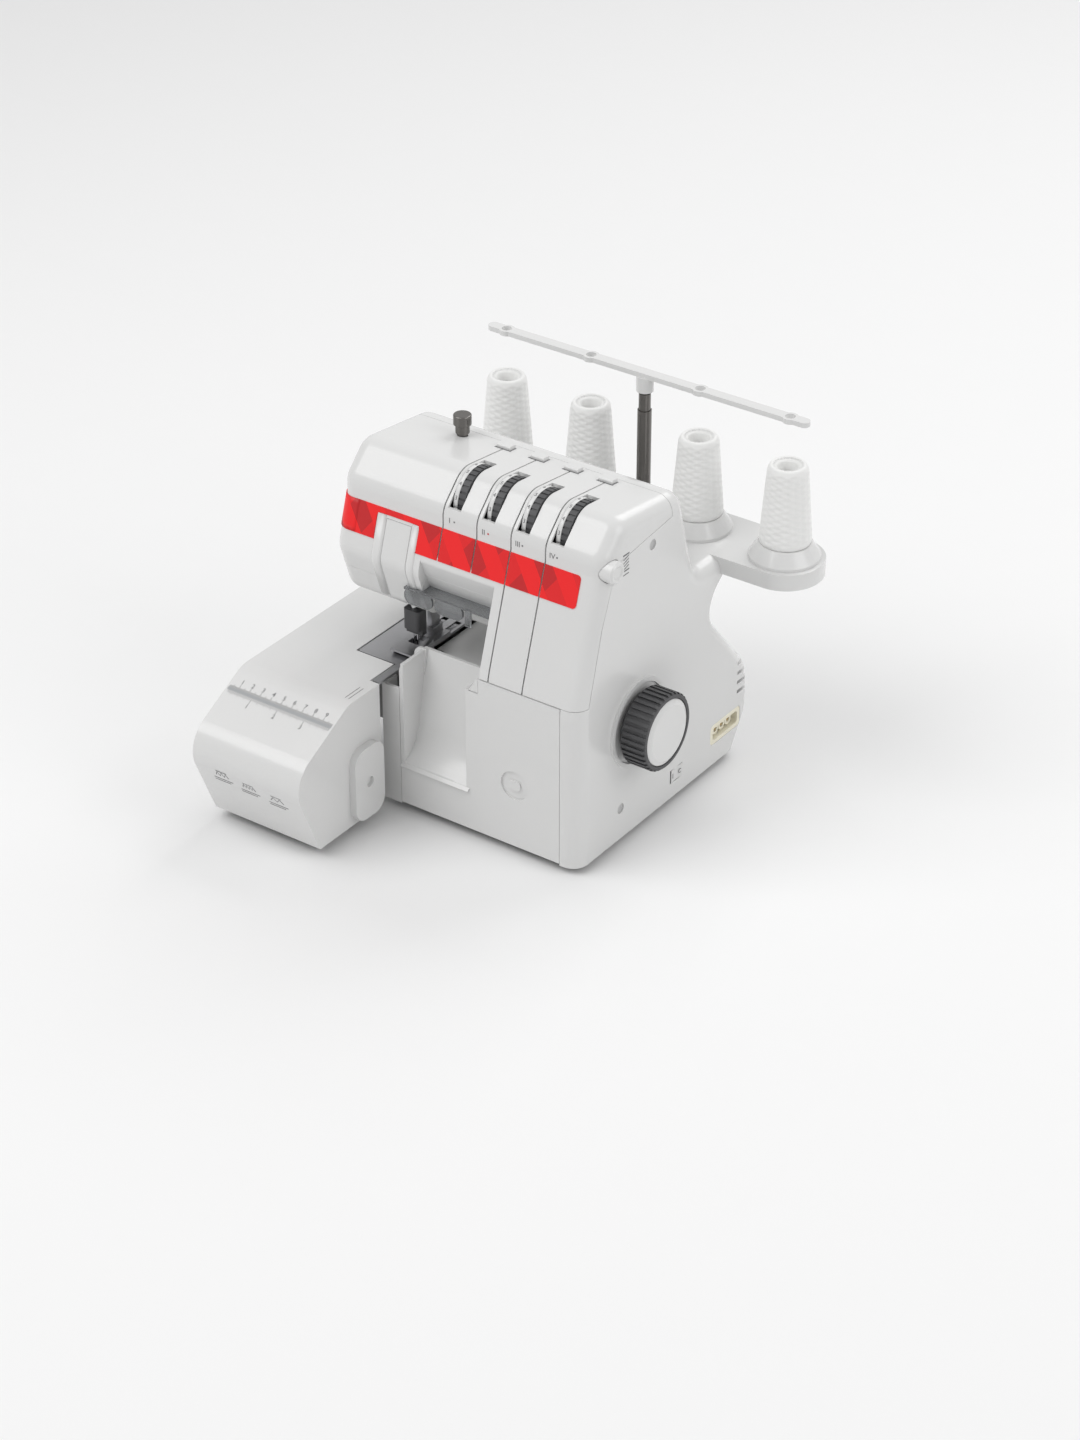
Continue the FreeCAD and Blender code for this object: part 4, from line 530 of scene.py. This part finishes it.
class Print:
    """Thin marks on sheets, gathered into one piece."""

    half_thickness: float = 0.04
    glyph_resolution: int = 3

    def __init__(self) -> None:
        """Start with no marks."""
        self.points: list[np.ndarray] = []
        self.faces: list[tuple[int, ...]] = []
        self.count = 0

    def add(self, points: np.ndarray, faces: Sequence[Sequence[int]]) -> None:
        """Add one mark.

        Args:
            points: its vertices in metres.
            faces: its faces, as indices of those vertices.
        """
        self.points.append(points)
        self.faces += [tuple(int(corner) + self.count for corner in face) for face in faces]
        self.count += len(points)

    def text(self, words: str, size: float, sheet: Sheet, u: float = 0.0, v: float = 0.0) -> None:
        """Set plain characters on a sheet.

        Args:
            words: the characters.
            size: their size in millimetres.
            sheet: where they stand.
            u: shift along the sheet's reading direction.
            v: shift along the sheet's up direction.
        """
        curve = bpy.data.curves.new("glyph", "FONT")
        curve.body, curve.size, curve.extrude = words, size, self.half_thickness
        curve.align_x, curve.align_y = "CENTER", "CENTER"
        curve.resolution_u = self.glyph_resolution
        holder = bpy.data.objects.new("glyph", curve)
        bpy.context.collection.objects.link(holder)
        graph = bpy.context.evaluated_depsgraph_get()
        mesh = bpy.data.meshes.new_from_object(holder.evaluated_get(graph))
        flat = np.empty(len(mesh.vertices) * 3)
        mesh.vertices.foreach_get("co", flat)
        faces = [tuple(polygon.vertices) for polygon in mesh.polygons]
        self.add(sheet.world(flat.reshape(-1, 3) + np.array([u, v, 0.0])), faces)
        bpy.data.objects.remove(holder)
        bpy.data.curves.remove(curve)
        bpy.data.meshes.remove(mesh)

    def bar(self, sheet: Sheet, u: Span, v: Span) -> None:
        """Add a thin rectangle.

        Args:
            sheet: where it is drawn.
            u: its span along the sheet's reading direction, in millimetres.
            v: its span along the sheet's up direction.
        """
        middle = (v[0] + v[1]) / 2
        self.stroke(sheet, [(u[0], middle), (u[1], middle)], v[1] - v[0])

    def stroke(self, sheet: Sheet, run: Sequence[Span], width: float) -> None:
        """Draw a line of even width.

        At each point the run's normal carries the two edges, and the strip between them is thickened.

        Args:
            sheet: where it is drawn.
            run: the points, in millimetres.
            width: the line's width in millimetres.
        """
        line = np.array(run, dtype=float)
        along = unit_steps(line)
        side = np.stack([-along[:, 1], along[:, 0]], axis=1) * width / 2
        flat = np.stack([line - side, line + side], axis=1)
        flat = np.concatenate([flat, np.full((*flat.shape[:2], 1), -self.half_thickness)], axis=2)
        outward = np.broadcast_to(np.array([0.0, 0.0, 1.0]), flat.shape)
        points, faces = slab(flat[:, ::-1], outward, 2 * self.half_thickness)
        self.add(sheet.world(points), faces)

    def piece(self, name: str, finish: Finish, body: str) -> None:
        """Make the gathered marks a piece.

        Args:
            name: the piece's name.
            finish: its finish.
            body: the body that it rides on.
        """
        add_mesh(name, np.concatenate(self.points), self.faces, finish, body, smooth=False)


# The machine's dressed sub-assemblies

RIGHTWARD, BACKWARD, UPWARD = (1.0, 0.0, 0.0), (0.0, 1.0, 0.0), (0.0, 0.0, 1.0)


@dataclass
class ThreadSet:
    """Four wound cones of thread on the stand."""

    stations: tuple[float, ...] = (-117.5, -38.5, 60.5, 139.5)
    depth: float = 149.5
    foot: float = 201.3
    height: float = 64.0
    base: float = 20.1
    taper: float = 5.0
    starts: int = 9
    twist: float = 78.0
    ridge: float = 0.28
    fade: float = 14.0
    top_round: Span = (0.07, 1.6)
    foot_round: Span = (0.05, 0.9)
    rim: float = 10.9
    tooth: float = 0.35
    teeth: int = 24
    ledge: Span = (9.2, 0.985)
    bore: Span = (8.0, 0.96)
    around: int = 180
    along: int = 84

    def profile(self, angle: np.ndarray, share: np.ndarray) -> tuple[np.ndarray, np.ndarray]:
        """Give one cone's radius and level, from the foot up its side and down its bore.

        The side tapers, less a squared round at each end, and carries the larger of two cosines that turn
        opposite ways as they climb, which makes crossing helical ridges. The rim is a square wave round the
        axis.

        Args:
            angle: angles round the axis, as a row.
            share: shares of the height, as a column.

        Returns:
            The radius and the level in millimetres, with a row for each step along the profile.
        """
        strands, climb = self.starts * angle, share * self.twist
        wound = np.maximum(np.cos(strands + climb), np.cos(strands - climb))
        faded = np.clip(np.minimum(share, 1 - share) * self.fade, 0, 1)
        top = self.top_round[1] * np.clip((share - 1) / self.top_round[0] + 1, 0, 1) ** 2
        foot = self.foot_round[1] * np.clip(1 - share / self.foot_round[0], 0, 1) ** 2
        side = self.base - self.taper * share - top - foot + self.ridge * wound * faded
        inside = np.array([(self.rim, 1.0), (self.rim, self.ledge[1]), self.ledge, self.bore,
                           (self.bore[0], 0.0)])
        toothed = np.array([[self.tooth], [self.tooth], [0.0], [0.0], [0.0]])
        lining = inside[:, :1] + toothed * np.sign(np.sin(angle * self.teeth))
        return np.concatenate([side, lining]), np.concatenate([share, inside[:, 1:]]) * self.height

    def build(self) -> None:
        """Turn the profile about each station's axis and join the four cones in one piece."""
        angle = np.linspace(0, 2 * np.pi, self.around, endpoint=False)[None, :]
        radius, level = self.profile(angle, np.linspace(0, 1, self.along)[:, None])
        ring = np.stack(np.broadcast_arrays(radius * np.cos(angle), radius * np.sin(angle), level), axis=-1)
        faces = grid_faces(*radius.shape, wrap_rows=True, wrap_columns=True)
        spots = np.array([(x, self.depth, self.foot) for x in self.stations])
        points = (ring.reshape(1, -1, 3) + spots[:, None, :]).reshape(-1, 3) * MM
        shifts = np.arange(len(spots))[:, None, None] * radius.size
        cones = add_mesh("thread_wound", points, (faces[None] + shifts).reshape(-1, 4), THREAD, "machine")
        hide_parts("thread_cones")


@dataclass
class DialScales:
    """White number bands on the four tension dials."""

    lefts: tuple[float, ...] = (-36.0, -5.4, 25.2, 55.8)
    centre: Span = (-6.6, 254.0)
    radius: float = 24.0
    band: float = 3.8
    inset: float = 0.15
    sink: float = 0.2
    thickness: float = 0.35
    numbers: int = 10
    front_number: int = 4
    front_angle: float = 44.0
    step: float = 26.0
    size: float = 4.4
    around: int = 121
    across: int = 4

    def wrap(self, name: str, left: float, body: str) -> None:
        """Wrap a thin band round a dial: an arc about its axis, thickened outward.

        Args:
            name: the band's name.
            left: the dial's left side.
            body: the dial's body.
        """
        angle = np.linspace(0, 2 * np.pi, self.around)[:, None]
        out = np.stack(np.broadcast_arrays(0.0 * angle, -np.cos(angle), np.sin(angle)), axis=-1)
        out = np.broadcast_to(out, (self.around, self.across, 3))
        ring = np.array([0.0, *self.centre]) + out * (self.radius - self.sink)
        ring[..., 0] = np.linspace(left + self.inset, left + self.band, self.across)
        points, faces = slab(ring * MM, out, self.thickness * MM)
        add_mesh(name, points, faces, WHITE, body)

    def number(self, name: str, left: float, body: str) -> None:
        """Stand the numbers round a band.

        Args:
            name: the piece's name.
            left: the dial's left side.
            body: the dial's body.
        """
        marks = Print()
        reach = self.radius - self.sink + self.thickness
        for number in range(self.numbers):
            turn = math.radians(self.front_angle + (number - self.front_number) * self.step)
            spot = (left + self.band / 2, self.centre[0] - reach * math.cos(turn),
                    self.centre[1] + reach * math.sin(turn))
            marks.text(str(number), self.size, Sheet(spot, RIGHTWARD, (0.0, math.sin(turn), math.cos(turn))))
        marks.piece(name, INK_AND_SHADE, body)

    def build(self) -> None:
        """Make the band and the numbers of each dial."""
        for index, left in enumerate(self.lefts, start=1):
            self.wrap("dial_band_%d" % index, left, "dial_%d" % index)
            self.number("dial_numbers_%d" % index, left, "dial_%d" % index)


@dataclass
class PanelTrim:
    """Marks, painted shadow lines round the clips, bezels and the band's end on the leaning front and beside
    it.
    """

    slots: tuple[float, ...] = (-40.0, -9.4, 21.2, 51.8)
    panel_foot: Span = (-68.5, 142.0)
    panel_crease: Span = (-38.0, 240.0)
    top_front: Span = (-14.0, 278.0)
    top_fall: float = 8.0
    clip_depth: float = 41.0
    clip_front: tuple[Span, Span] = ((-7.4, 7.4), (-4.9, -3.7))
    clip_sides: tuple[Span, Span] = ((-7.0, -6.1), (6.1, 7.0))
    clip_run: Span = (-3.7, 3.6)
    bezel_strips: tuple[tuple[str, float, float], ...] = (("bezel_left", -99.0, -90.6),
                                                          ("bezel_right", -66.9, -60.0))
    bezel_top: float = 234.0
    bezel_bend: Span = (200.0, 18.0)
    bezel_end: Span = (-38.9, 166.0)
    bezel_sink: float = 0.3
    bezel_edge: float = 0.25
    bezel_crown: float = 1.3
    bezel_steps: tuple[int, int] = (24, 9)
    end_levels: Span = (214.6, 238.4)
    end_centre: float = -122.8
    end_radius: float = 12.4
    end_angle: float = 80.0
    end_lift: float = 0.4
    end_sink: float = 0.3
    end_thickness: float = 0.65
    end_overlap: tuple[float, ...] = (6.5, 4.0, 2.0)
    end_steps: tuple[int, int] = (25, 7)
    numeral_shift: float = 6.0
    numeral_level: float = 246.2
    numeral_size: float = 6.2
    numeral_words: tuple[str, ...] = ("I", "II", "III", "IV")
    numeral_dot: tuple[Span, Span] = ((3.6, 4.9), (-0.65, 0.65))
    red_numeral: int = 1
    reel: Point = (103.0, -10.0, 243.0)
    reel_flange: Span = (-4.0, 4.0)
    reel_flange_rows: tuple[Span, ...] = ((-7.0, -5.9), (6.0, 7.1))
    reel_half_width: float = 3.4
    reel_turns: tuple[float, ...] = (-5.0, -2.4, 0.2, 2.8)
    reel_rise: float = 2.0
    reel_line: float = 0.8
    reel_rule: tuple[Span, Span] = ((-3.6, 3.6), (-10.0, -9.2))

    def lean(self, level: float | np.ndarray) -> float | np.ndarray:
        """Give the panel's depth at a level.

        Args:
            level: the level, or an array of levels.

        Returns:
            The depth, of the same shape.
        """
        run, rise = (end - start for start, end in zip(self.panel_foot, self.panel_crease))
        return self.panel_foot[0] + (level - self.panel_foot[1]) * run / rise

    def clip_lines(self) -> None:
        """Paint dark shadow lines round the thread clips on the sloping top, where there is only shade."""
        marks = Print()
        level = self.top_front[1] - (self.clip_depth - self.top_front[0]) / self.top_fall
        for slot in self.slots:
            sheet = Sheet((slot, self.clip_depth, level), RIGHTWARD, (0.0, self.top_fall, -1.0))
            marks.bar(sheet, *self.clip_front)
            for side in self.clip_sides:
                marks.bar(sheet, side, self.clip_run)
        # The grey print finish here paints the shade round each clip, not real print.
        marks.piece("clip_lines", INK_AND_SHADE, "machine")

    def bezels(self) -> None:
        """Lay a raised strip along the nose on each side of the take-up cover.

        Each follows the nose's rounded path, with a crown across it that falls off by the fourth power.
        """
        bend, radius = self.bezel_bend
        steps, columns = self.bezel_steps
        path = rounded_path([(self.lean(self.bezel_top), self.bezel_top, 0), (self.lean(bend), bend, radius),
                             (*self.bezel_end, 0)], steps)
        along = unit_steps(path)
        out = np.stack([0 * along[:, 0], along[:, 1], -along[:, 0]], axis=1)[:, None, :]
        crown = self.bezel_crown * (1 - np.abs(np.linspace(-1, 1, columns)) ** 4)[None, :, None]
        for name, left, right in self.bezel_strips:
            across = np.linspace(left, right, columns)[None, :]
            run = np.stack(np.broadcast_arrays(across, path[:, :1], path[:, 1:]), axis=-1)
            normals = np.broadcast_to(out, run.shape)
            sunk = run - normals * self.bezel_sink
            points, faces = slab(sunk * MM, normals, (crown + self.bezel_edge) * MM)
            add_mesh(name, points, faces, WHITE, "machine")

    def band_end(self) -> None:
        """Carry the red band round the head's left end: an arc about its rounding, set at each level."""
        steps, rows = self.end_steps
        lead = len(self.end_overlap)
        turn = np.concatenate([np.zeros(lead), np.linspace(0, np.radians(self.end_angle), steps)])[None, :]
        flat = np.concatenate([self.end_overlap, np.zeros(steps)])[None, :]
        level = np.linspace(*self.end_levels, rows)[:, None]
        across = self.end_centre + flat - self.end_radius * np.sin(turn)
        depth = self.lean(level) - self.end_lift + self.end_radius * (1 - np.cos(turn))
        surface = np.stack(np.broadcast_arrays(across, depth, level), axis=-1)[:, ::-1]
        out = np.stack(np.broadcast_arrays(-np.sin(turn), -np.cos(turn), 0.0 * level), axis=-1)[:, ::-1]
        points, faces = slab((surface - out * self.end_sink) * MM, out, self.end_thickness * MM)
        add_mesh("band_end", points, faces, RED, "machine")

    def numerals(self) -> None:
        """Print a Roman numeral and a dot under each dial, one dot red."""
        marks, red = Print(), Print()
        for index, (slot, word) in enumerate(zip(self.slots, self.numeral_words)):
            spot = (slot + self.numeral_shift, self.panel_crease[0], self.numeral_level)
            sheet = Sheet(spot, RIGHTWARD, UPWARD)
            marks.text(word, self.numeral_size, sheet)
            dots = red if index == self.red_numeral else marks
            dots.bar(sheet, *self.numeral_dot)
        marks.piece("panel_numerals", INK_AND_SHADE, "machine")
        red.piece("panel_red_dot", RED_INK, "machine")

    def spool_mark(self) -> None:
        """Print a small reel on the right side, behind the button."""
        sheet = Sheet(self.reel, BACKWARD, UPWARD)
        marks = Print()
        for row in self.reel_flange_rows:
            marks.bar(sheet, self.reel_flange, row)
        half = self.reel_half_width
        for level in self.reel_turns:
            marks.stroke(sheet, [(-half, level), (half, level + self.reel_rise)], self.reel_line)
        marks.bar(sheet, *self.reel_rule)
        marks.piece("side_reel_mark", INK_AND_SHADE, "machine")

    def build(self) -> None:
        """Make all the trim of the front panel."""
        self.clip_lines()
        self.bezels()
        self.band_end()
        self.numerals()
        self.spool_mark()


@dataclass
class TablePrint:
    """Ruler and stitch signs printed on the slide-off table."""

    nose: Span = (-187.641, 80.0)
    shelf: Span = (-119.5, 116.0)
    foot: Span = (-158.0, 9.0)
    ruler_depth: float = -138.5
    zero: float = -170.0
    inch: float = 25.4
    line: Span = (1.0, 99.5)
    half_line: float = 1.3
    half_tick: float = 0.19
    half_inch_tick: float = 0.2
    ticks: range = range(2, 100)
    tick_heights: Point = (5.0, 4.0, 2.9)
    inch_parts: int = 16
    inch_ticks: range = range(2, 63)
    inch_tick_heights: Point = (6.0, 4.8, 3.6)
    centimetre: float = 10.0
    number_size: float = 5.6
    number_rows: Span = (7.8, -9.0)
    guide: Span = (-78.0, -103.0)
    guide_lines: tuple[Span, ...] = ((0.0, 0.5), (3.2, 3.7))
    guide_run: Span = (-9.0, 9.0)
    stitches: tuple[tuple[float, float, int], ...] = ((-145.0, 56.5, 3), (-120.0, 54.0, 4), (-94.0, 52.0, 2))
    sign_width: float = 12.0
    zigzag: Span = (-1.0, 3.0)
    zigzag_line: float = 0.9
    edge_run: tuple[Span, Span] = ((-5.0, 4.2), (5.0, 4.2))
    edge_line: float = 0.6
    rules: tuple[tuple[Span, Span], ...] = (((-9.0, 9.0), (-5.2, -4.4)), ((-9.0, 6.0), (-7.6, -6.8)))

    @staticmethod
    def tall(tick: int, whole: int, part: int, heights: Point) -> float:
        """Choose a tick's height.

        Args:
            tick: the tick's number.
            whole: ticks between two of the tallest.
            part: ticks between two of the middle height.
            heights: the tallest, the middle and the lowest height.

        Returns:
            The height.
        """
        return heights[0] if tick % whole == 0 else heights[1] if tick % part == 0 else heights[2]

    def ruler(self) -> None:
        """Print a grey line on the slope, with centimetres above it and inches below."""
        rise = (self.shelf[0] - self.nose[0], self.shelf[1] - self.nose[1])
        share = (self.ruler_depth - self.nose[0]) / rise[0]
        level = self.nose[1] + rise[1] * share
        sheet = Sheet((self.zero, self.ruler_depth, level), RIGHTWARD, (0.0, *rise))
        lines, marks = Print(), Print()
        edge, half = self.half_line, self.half_tick
        lines.bar(sheet, self.line, (-edge, edge))
        for tick in self.ticks:
            marks.bar(sheet, (tick - half, tick + half), (edge, self.tall(tick, 10, 5, self.tick_heights)))
        for number in range(1, 10):
            marks.text(str(number), self.number_size, sheet, number * self.centimetre, self.number_rows[0])
        half = self.half_inch_tick
        for tick in self.inch_ticks:
            low = -self.tall(tick, self.inch_parts, self.inch_parts // 4, self.inch_tick_heights)
            place = tick * self.inch / self.inch_parts
            marks.bar(sheet, (place - half, place + half), (low, -edge))
        for number in range(1, 4):
            marks.text(str(number), self.number_size, sheet, number * self.inch, self.number_rows[1])
        lines.piece("ruler_line", PALE_INK, "table")
        marks.piece("ruler_marks", INK_AND_SHADE, "table")

    def signs(self) -> None:
        """Print three stitch signs low on the front, each over two rules, and two guide lines on the top."""
        rise = (self.nose[0] - self.foot[0], self.nose[1] - self.foot[1])
        marks = Print()
        for x, level, teeth in self.stitches:
            share = (level - self.foot[1]) / rise[1]
            sheet = Sheet((x, self.foot[0] + rise[0] * share, level), RIGHTWARD, (0.0, *rise))
            half_pitch = self.sign_width / teeth / 2
            run = [(step * half_pitch - self.sign_width / 2, self.zigzag[step % 2])
                   for step in range(teeth * 2 + 1)]
            marks.stroke(sheet, run, self.zigzag_line)
            marks.stroke(sheet, self.edge_run, self.edge_line)
            for rule in self.rules:
                marks.bar(sheet, *rule)
        top = Sheet((*self.guide, self.shelf[1]), RIGHTWARD, BACKWARD)
        for line in self.guide_lines:
            marks.bar(top, line, self.guide_run)
        marks.piece("stitch_signs", INK_AND_SHADE, "table")

    def build(self) -> None:
        """Make the table's print."""
        self.ruler()
        self.signs()


@dataclass
class SideMarks:
    """Small marks on the power rocker."""

    face: Point = (103.27, 63.0, 25.0)
    dash: tuple[Span, Span] = ((-5.4, -4.6), (-2.0, 2.0))
    ring_centre: float = 4.8
    ring_radius: float = 1.7
    ring_line: float = 0.6
    ring_steps: int = 25

    def build(self) -> None:
        """Print a stroke and a ring on the rocker's two ends."""
        sheet = Sheet(self.face, BACKWARD, UPWARD)
        marks = Print()
        marks.bar(sheet, *self.dash)
        turn = np.linspace(0, 2 * np.pi, self.ring_steps)
        across, up = self.ring_centre + self.ring_radius * np.cos(turn), self.ring_radius * np.sin(turn)
        ring = np.stack([across, up], axis=1)
        marks.stroke(sheet, ring.tolist(), self.ring_line)
        marks.piece("switch_marks", INK_AND_SHADE, "rocker_switch")


def arc(centre: Span, radius: float, degrees: Span, steps: int) -> np.ndarray:
    """Sample an arc.

    Args:
        centre: its centre.
        radius: its radius.
        degrees: its first and last angle.
        steps: the number of points.

    Returns:
        The points, one row each.
    """
    turn = np.linspace(*np.radians(degrees), steps)
    return np.array(centre) + radius * np.stack([np.cos(turn), np.sin(turn)], axis=1)


@dataclass
class CoverTrim:
    """Finger and corner gusset at the top of the looper cover."""

    top: float = 130.0
    top_depth: float = -38.6
    slant: float = 13.5 / 74.0
    wall: float = 2.4
    front: float = -68.5
    lobe: Span = (-61.2, 125.4)
    lobe_radius: float = 5.0
    lobe_sweep: Span = (80.0, 250.0)
    bite: Span = (-61.2, 116.6)
    bite_radius: float = 3.6
    bite_sweep: Span = (110.0, -80.0)
    root: tuple[Span, ...] = ((-56.0, 112.0), (-56.0, 130.4))
    gusset: tuple[Span, ...] = ((3.8, 129.6), (12.4, 129.6), (12.4, 141.4), (11.0, 141.4))

    def prism(self, name: str, outline: np.ndarray, depth: np.ndarray) -> None:
        """Make a plate from an outline in X and Z.

        Args:
            name: the piece's name.
            outline: its points in millimetres.
            depth: the Y of its front at each point.
        """
        front = np.stack([outline[:, 0], depth, outline[:, 1]], axis=1)
        count = len(outline)
        faces = grid_faces(2, count, wrap_columns=True).tolist()
        faces += [list(range(count)), list(range(count * 2 - 1, count - 1, -1))]
        points = np.concatenate([front + np.array([0.0, self.wall, 0.0]), front]) * MM
        add_mesh(name, points, faces, WHITE, "looper_cover", smooth=False)

    def build(self) -> None:
        """Make the finger, whose underside is a C, and the gusset beside the column."""
        outline = np.concatenate([arc(self.lobe, self.lobe_radius, self.lobe_sweep, 22),
                                  arc(self.bite, self.bite_radius, self.bite_sweep, 18), self.root])
        depth = self.top_depth - self.wall - (self.top - outline[:, 1]) * self.slant
        self.prism("cover_finger", outline, depth)
        gusset = np.array(self.gusset)
        self.prism("cover_gusset", gusset, np.full(len(gusset), self.front))


@dataclass
class InletCore:
    """Collars that stand round the inlet's pins."""

    centre: Span = (131.5, 33.0)
    pitch: float = 9.0
    radii: Span = (2.2, 4.3)
    reach: Span = (90.9, 99.6)
    steps: int = 48

    def build(self) -> None:
        """Turn a rectangular section about each pin's axis: y = r cos t, z = r sin t, x along the pin."""
        (inner, outer), (floor, top) = self.radii, self.reach
        section = np.array([(inner, floor), (outer, floor), (outer, top), (inner, top)])
        radius, level = section[:, 0], section[:, 1]
        turn = np.linspace(0, 2 * np.pi, self.steps, endpoint=False)[:, None]
        faces = grid_faces(self.steps, len(section), wrap_rows=True, wrap_columns=True)
        for index, side in enumerate((-1, 0, 1), start=1):
            y = self.centre[0] + side * self.pitch + np.cos(turn) * radius
            z = self.centre[1] + np.sin(turn) * radius
            ring = np.stack(np.broadcast_arrays(level, y, z), axis=-1).reshape(-1, 3)
            add_mesh("inlet_collar_%d" % index, ring * MM, faces, CREAM, "machine", smooth=False)


# The studio


@dataclass(frozen=True)
class Lamp:
    """One square soft lamp that faces the machine; its place and side are metres, its power watts."""

    name: str
    place: Point
    side: float
    power: float
    aim: Point = (0.0, 0.0, 0.12)

    def hang(self) -> None:
        """Add the lamp to the scene."""
        light = bpy.data.lights.new(self.name, "AREA")
        light.energy = self.power
        light.size = self.side
        lamp = bpy.data.objects.new(self.name, light)
        lamp.location = self.place
        lamp.rotation_euler = (Vector(self.aim) - Vector(self.place)).to_track_quat("-Z", "Y").to_euler()
        bpy.context.collection.objects.link(lamp)


@dataclass
class Studio:
    """Pale floor, even sky, soft lamps and the camera at the photographed angle, in metres."""

    target: Point = (-0.045, 0.0915, 0.005)
    back: Point = (0.4918, -0.6920, 0.5284)
    distance: float = 2.795
    lens: float = 88.0
    sensor: float = 36.0
    clip_end: float = 50.0
    floor_reach: float = 6.0
    backdrop: float = 0.855
    glow: float = 0.47
    lamps: tuple[Lamp, ...] = (
        Lamp("key_lamp", (-1.2, -1.6, 2.6), 2.3, 46.0),
        Lamp("side_lamp", (2.2, 0.2, 1.6), 1.6, 15.0),
        Lamp("back_lamp", (0.2, 2.0, 2.2), 1.6, 24.0),
    )

    def floor(self) -> None:
        """Lay a wide pale floor."""
        reach = self.floor_reach
        corners = [(-reach, -reach, 0), (reach, -reach, 0), (reach, reach, 0), (-reach, reach, 0)]
        mesh = bpy.data.meshes.new("studio_floor")
        mesh.from_pydata(corners, [], [(0, 1, 2, 3)])
        floor = bpy.data.objects.new("studio_floor", mesh)
        bpy.context.collection.objects.link(floor)
        mesh.materials.append(PAPER.material())

    def sky(self) -> None:
        """Give an even sky: the backdrop's tone to the eye and to reflections, a softer one to light."""
        world = bpy.data.worlds.new("studio_sky")
        bpy.context.scene.world = world
        world.use_nodes = True
        kit = NodeTree(world.node_tree)
        path = kit.add("ShaderNodeLightPath").outputs
        seen = kit.math("MAXIMUM", path["Is Camera Ray"], path["Is Glossy Ray"])
        seen = kit.math("MAXIMUM", seen, path["Is Transmission Ray"])
        background = world.node_tree.nodes["Background"]
        background.inputs["Color"].default_value = rgba((1.0, 1.0, 1.0))
        strength = kit.math("ADD", self.glow, kit.math("MULTIPLY", seen, self.backdrop - self.glow))
        kit.tree.links.new(strength, background.inputs["Strength"])

    def camera(self) -> None:
        """Set the camera back from its target."""
        data = bpy.data.cameras.new("photo_camera")
        data.lens = self.lens
        data.sensor_width = self.sensor
        data.clip_end = self.clip_end
        camera = bpy.data.objects.new("photo_camera", data)
        back = Vector(self.back).normalized()
        camera.location = Vector(self.target) + back * self.distance
        camera.rotation_euler = (-back).to_track_quat("-Z", "Y").to_euler()
        bpy.context.collection.objects.link(camera)
        bpy.context.scene.camera = camera

    def build(self) -> None:
        """Set up the floor, the sky, the lamps and the camera."""
        self.floor()
        self.sky()
        for lamp in self.lamps:
            lamp.hang()
        self.camera()
        bpy.context.scene.view_settings.view_transform = "Standard"


def main() -> None:
    """Dress the machine, then set up the studio."""
    logging.basicConfig(level=logging.INFO)
    dress_nodes()
    for part in (ThreadSet(), DialScales(), PanelTrim(), TablePrint(), SideMarks(), CoverTrim(), InletCore(),
                 Studio()):
        part.build()
        LOG.info("%s built", type(part).__name__)


if __name__ == "__main__":
    main()
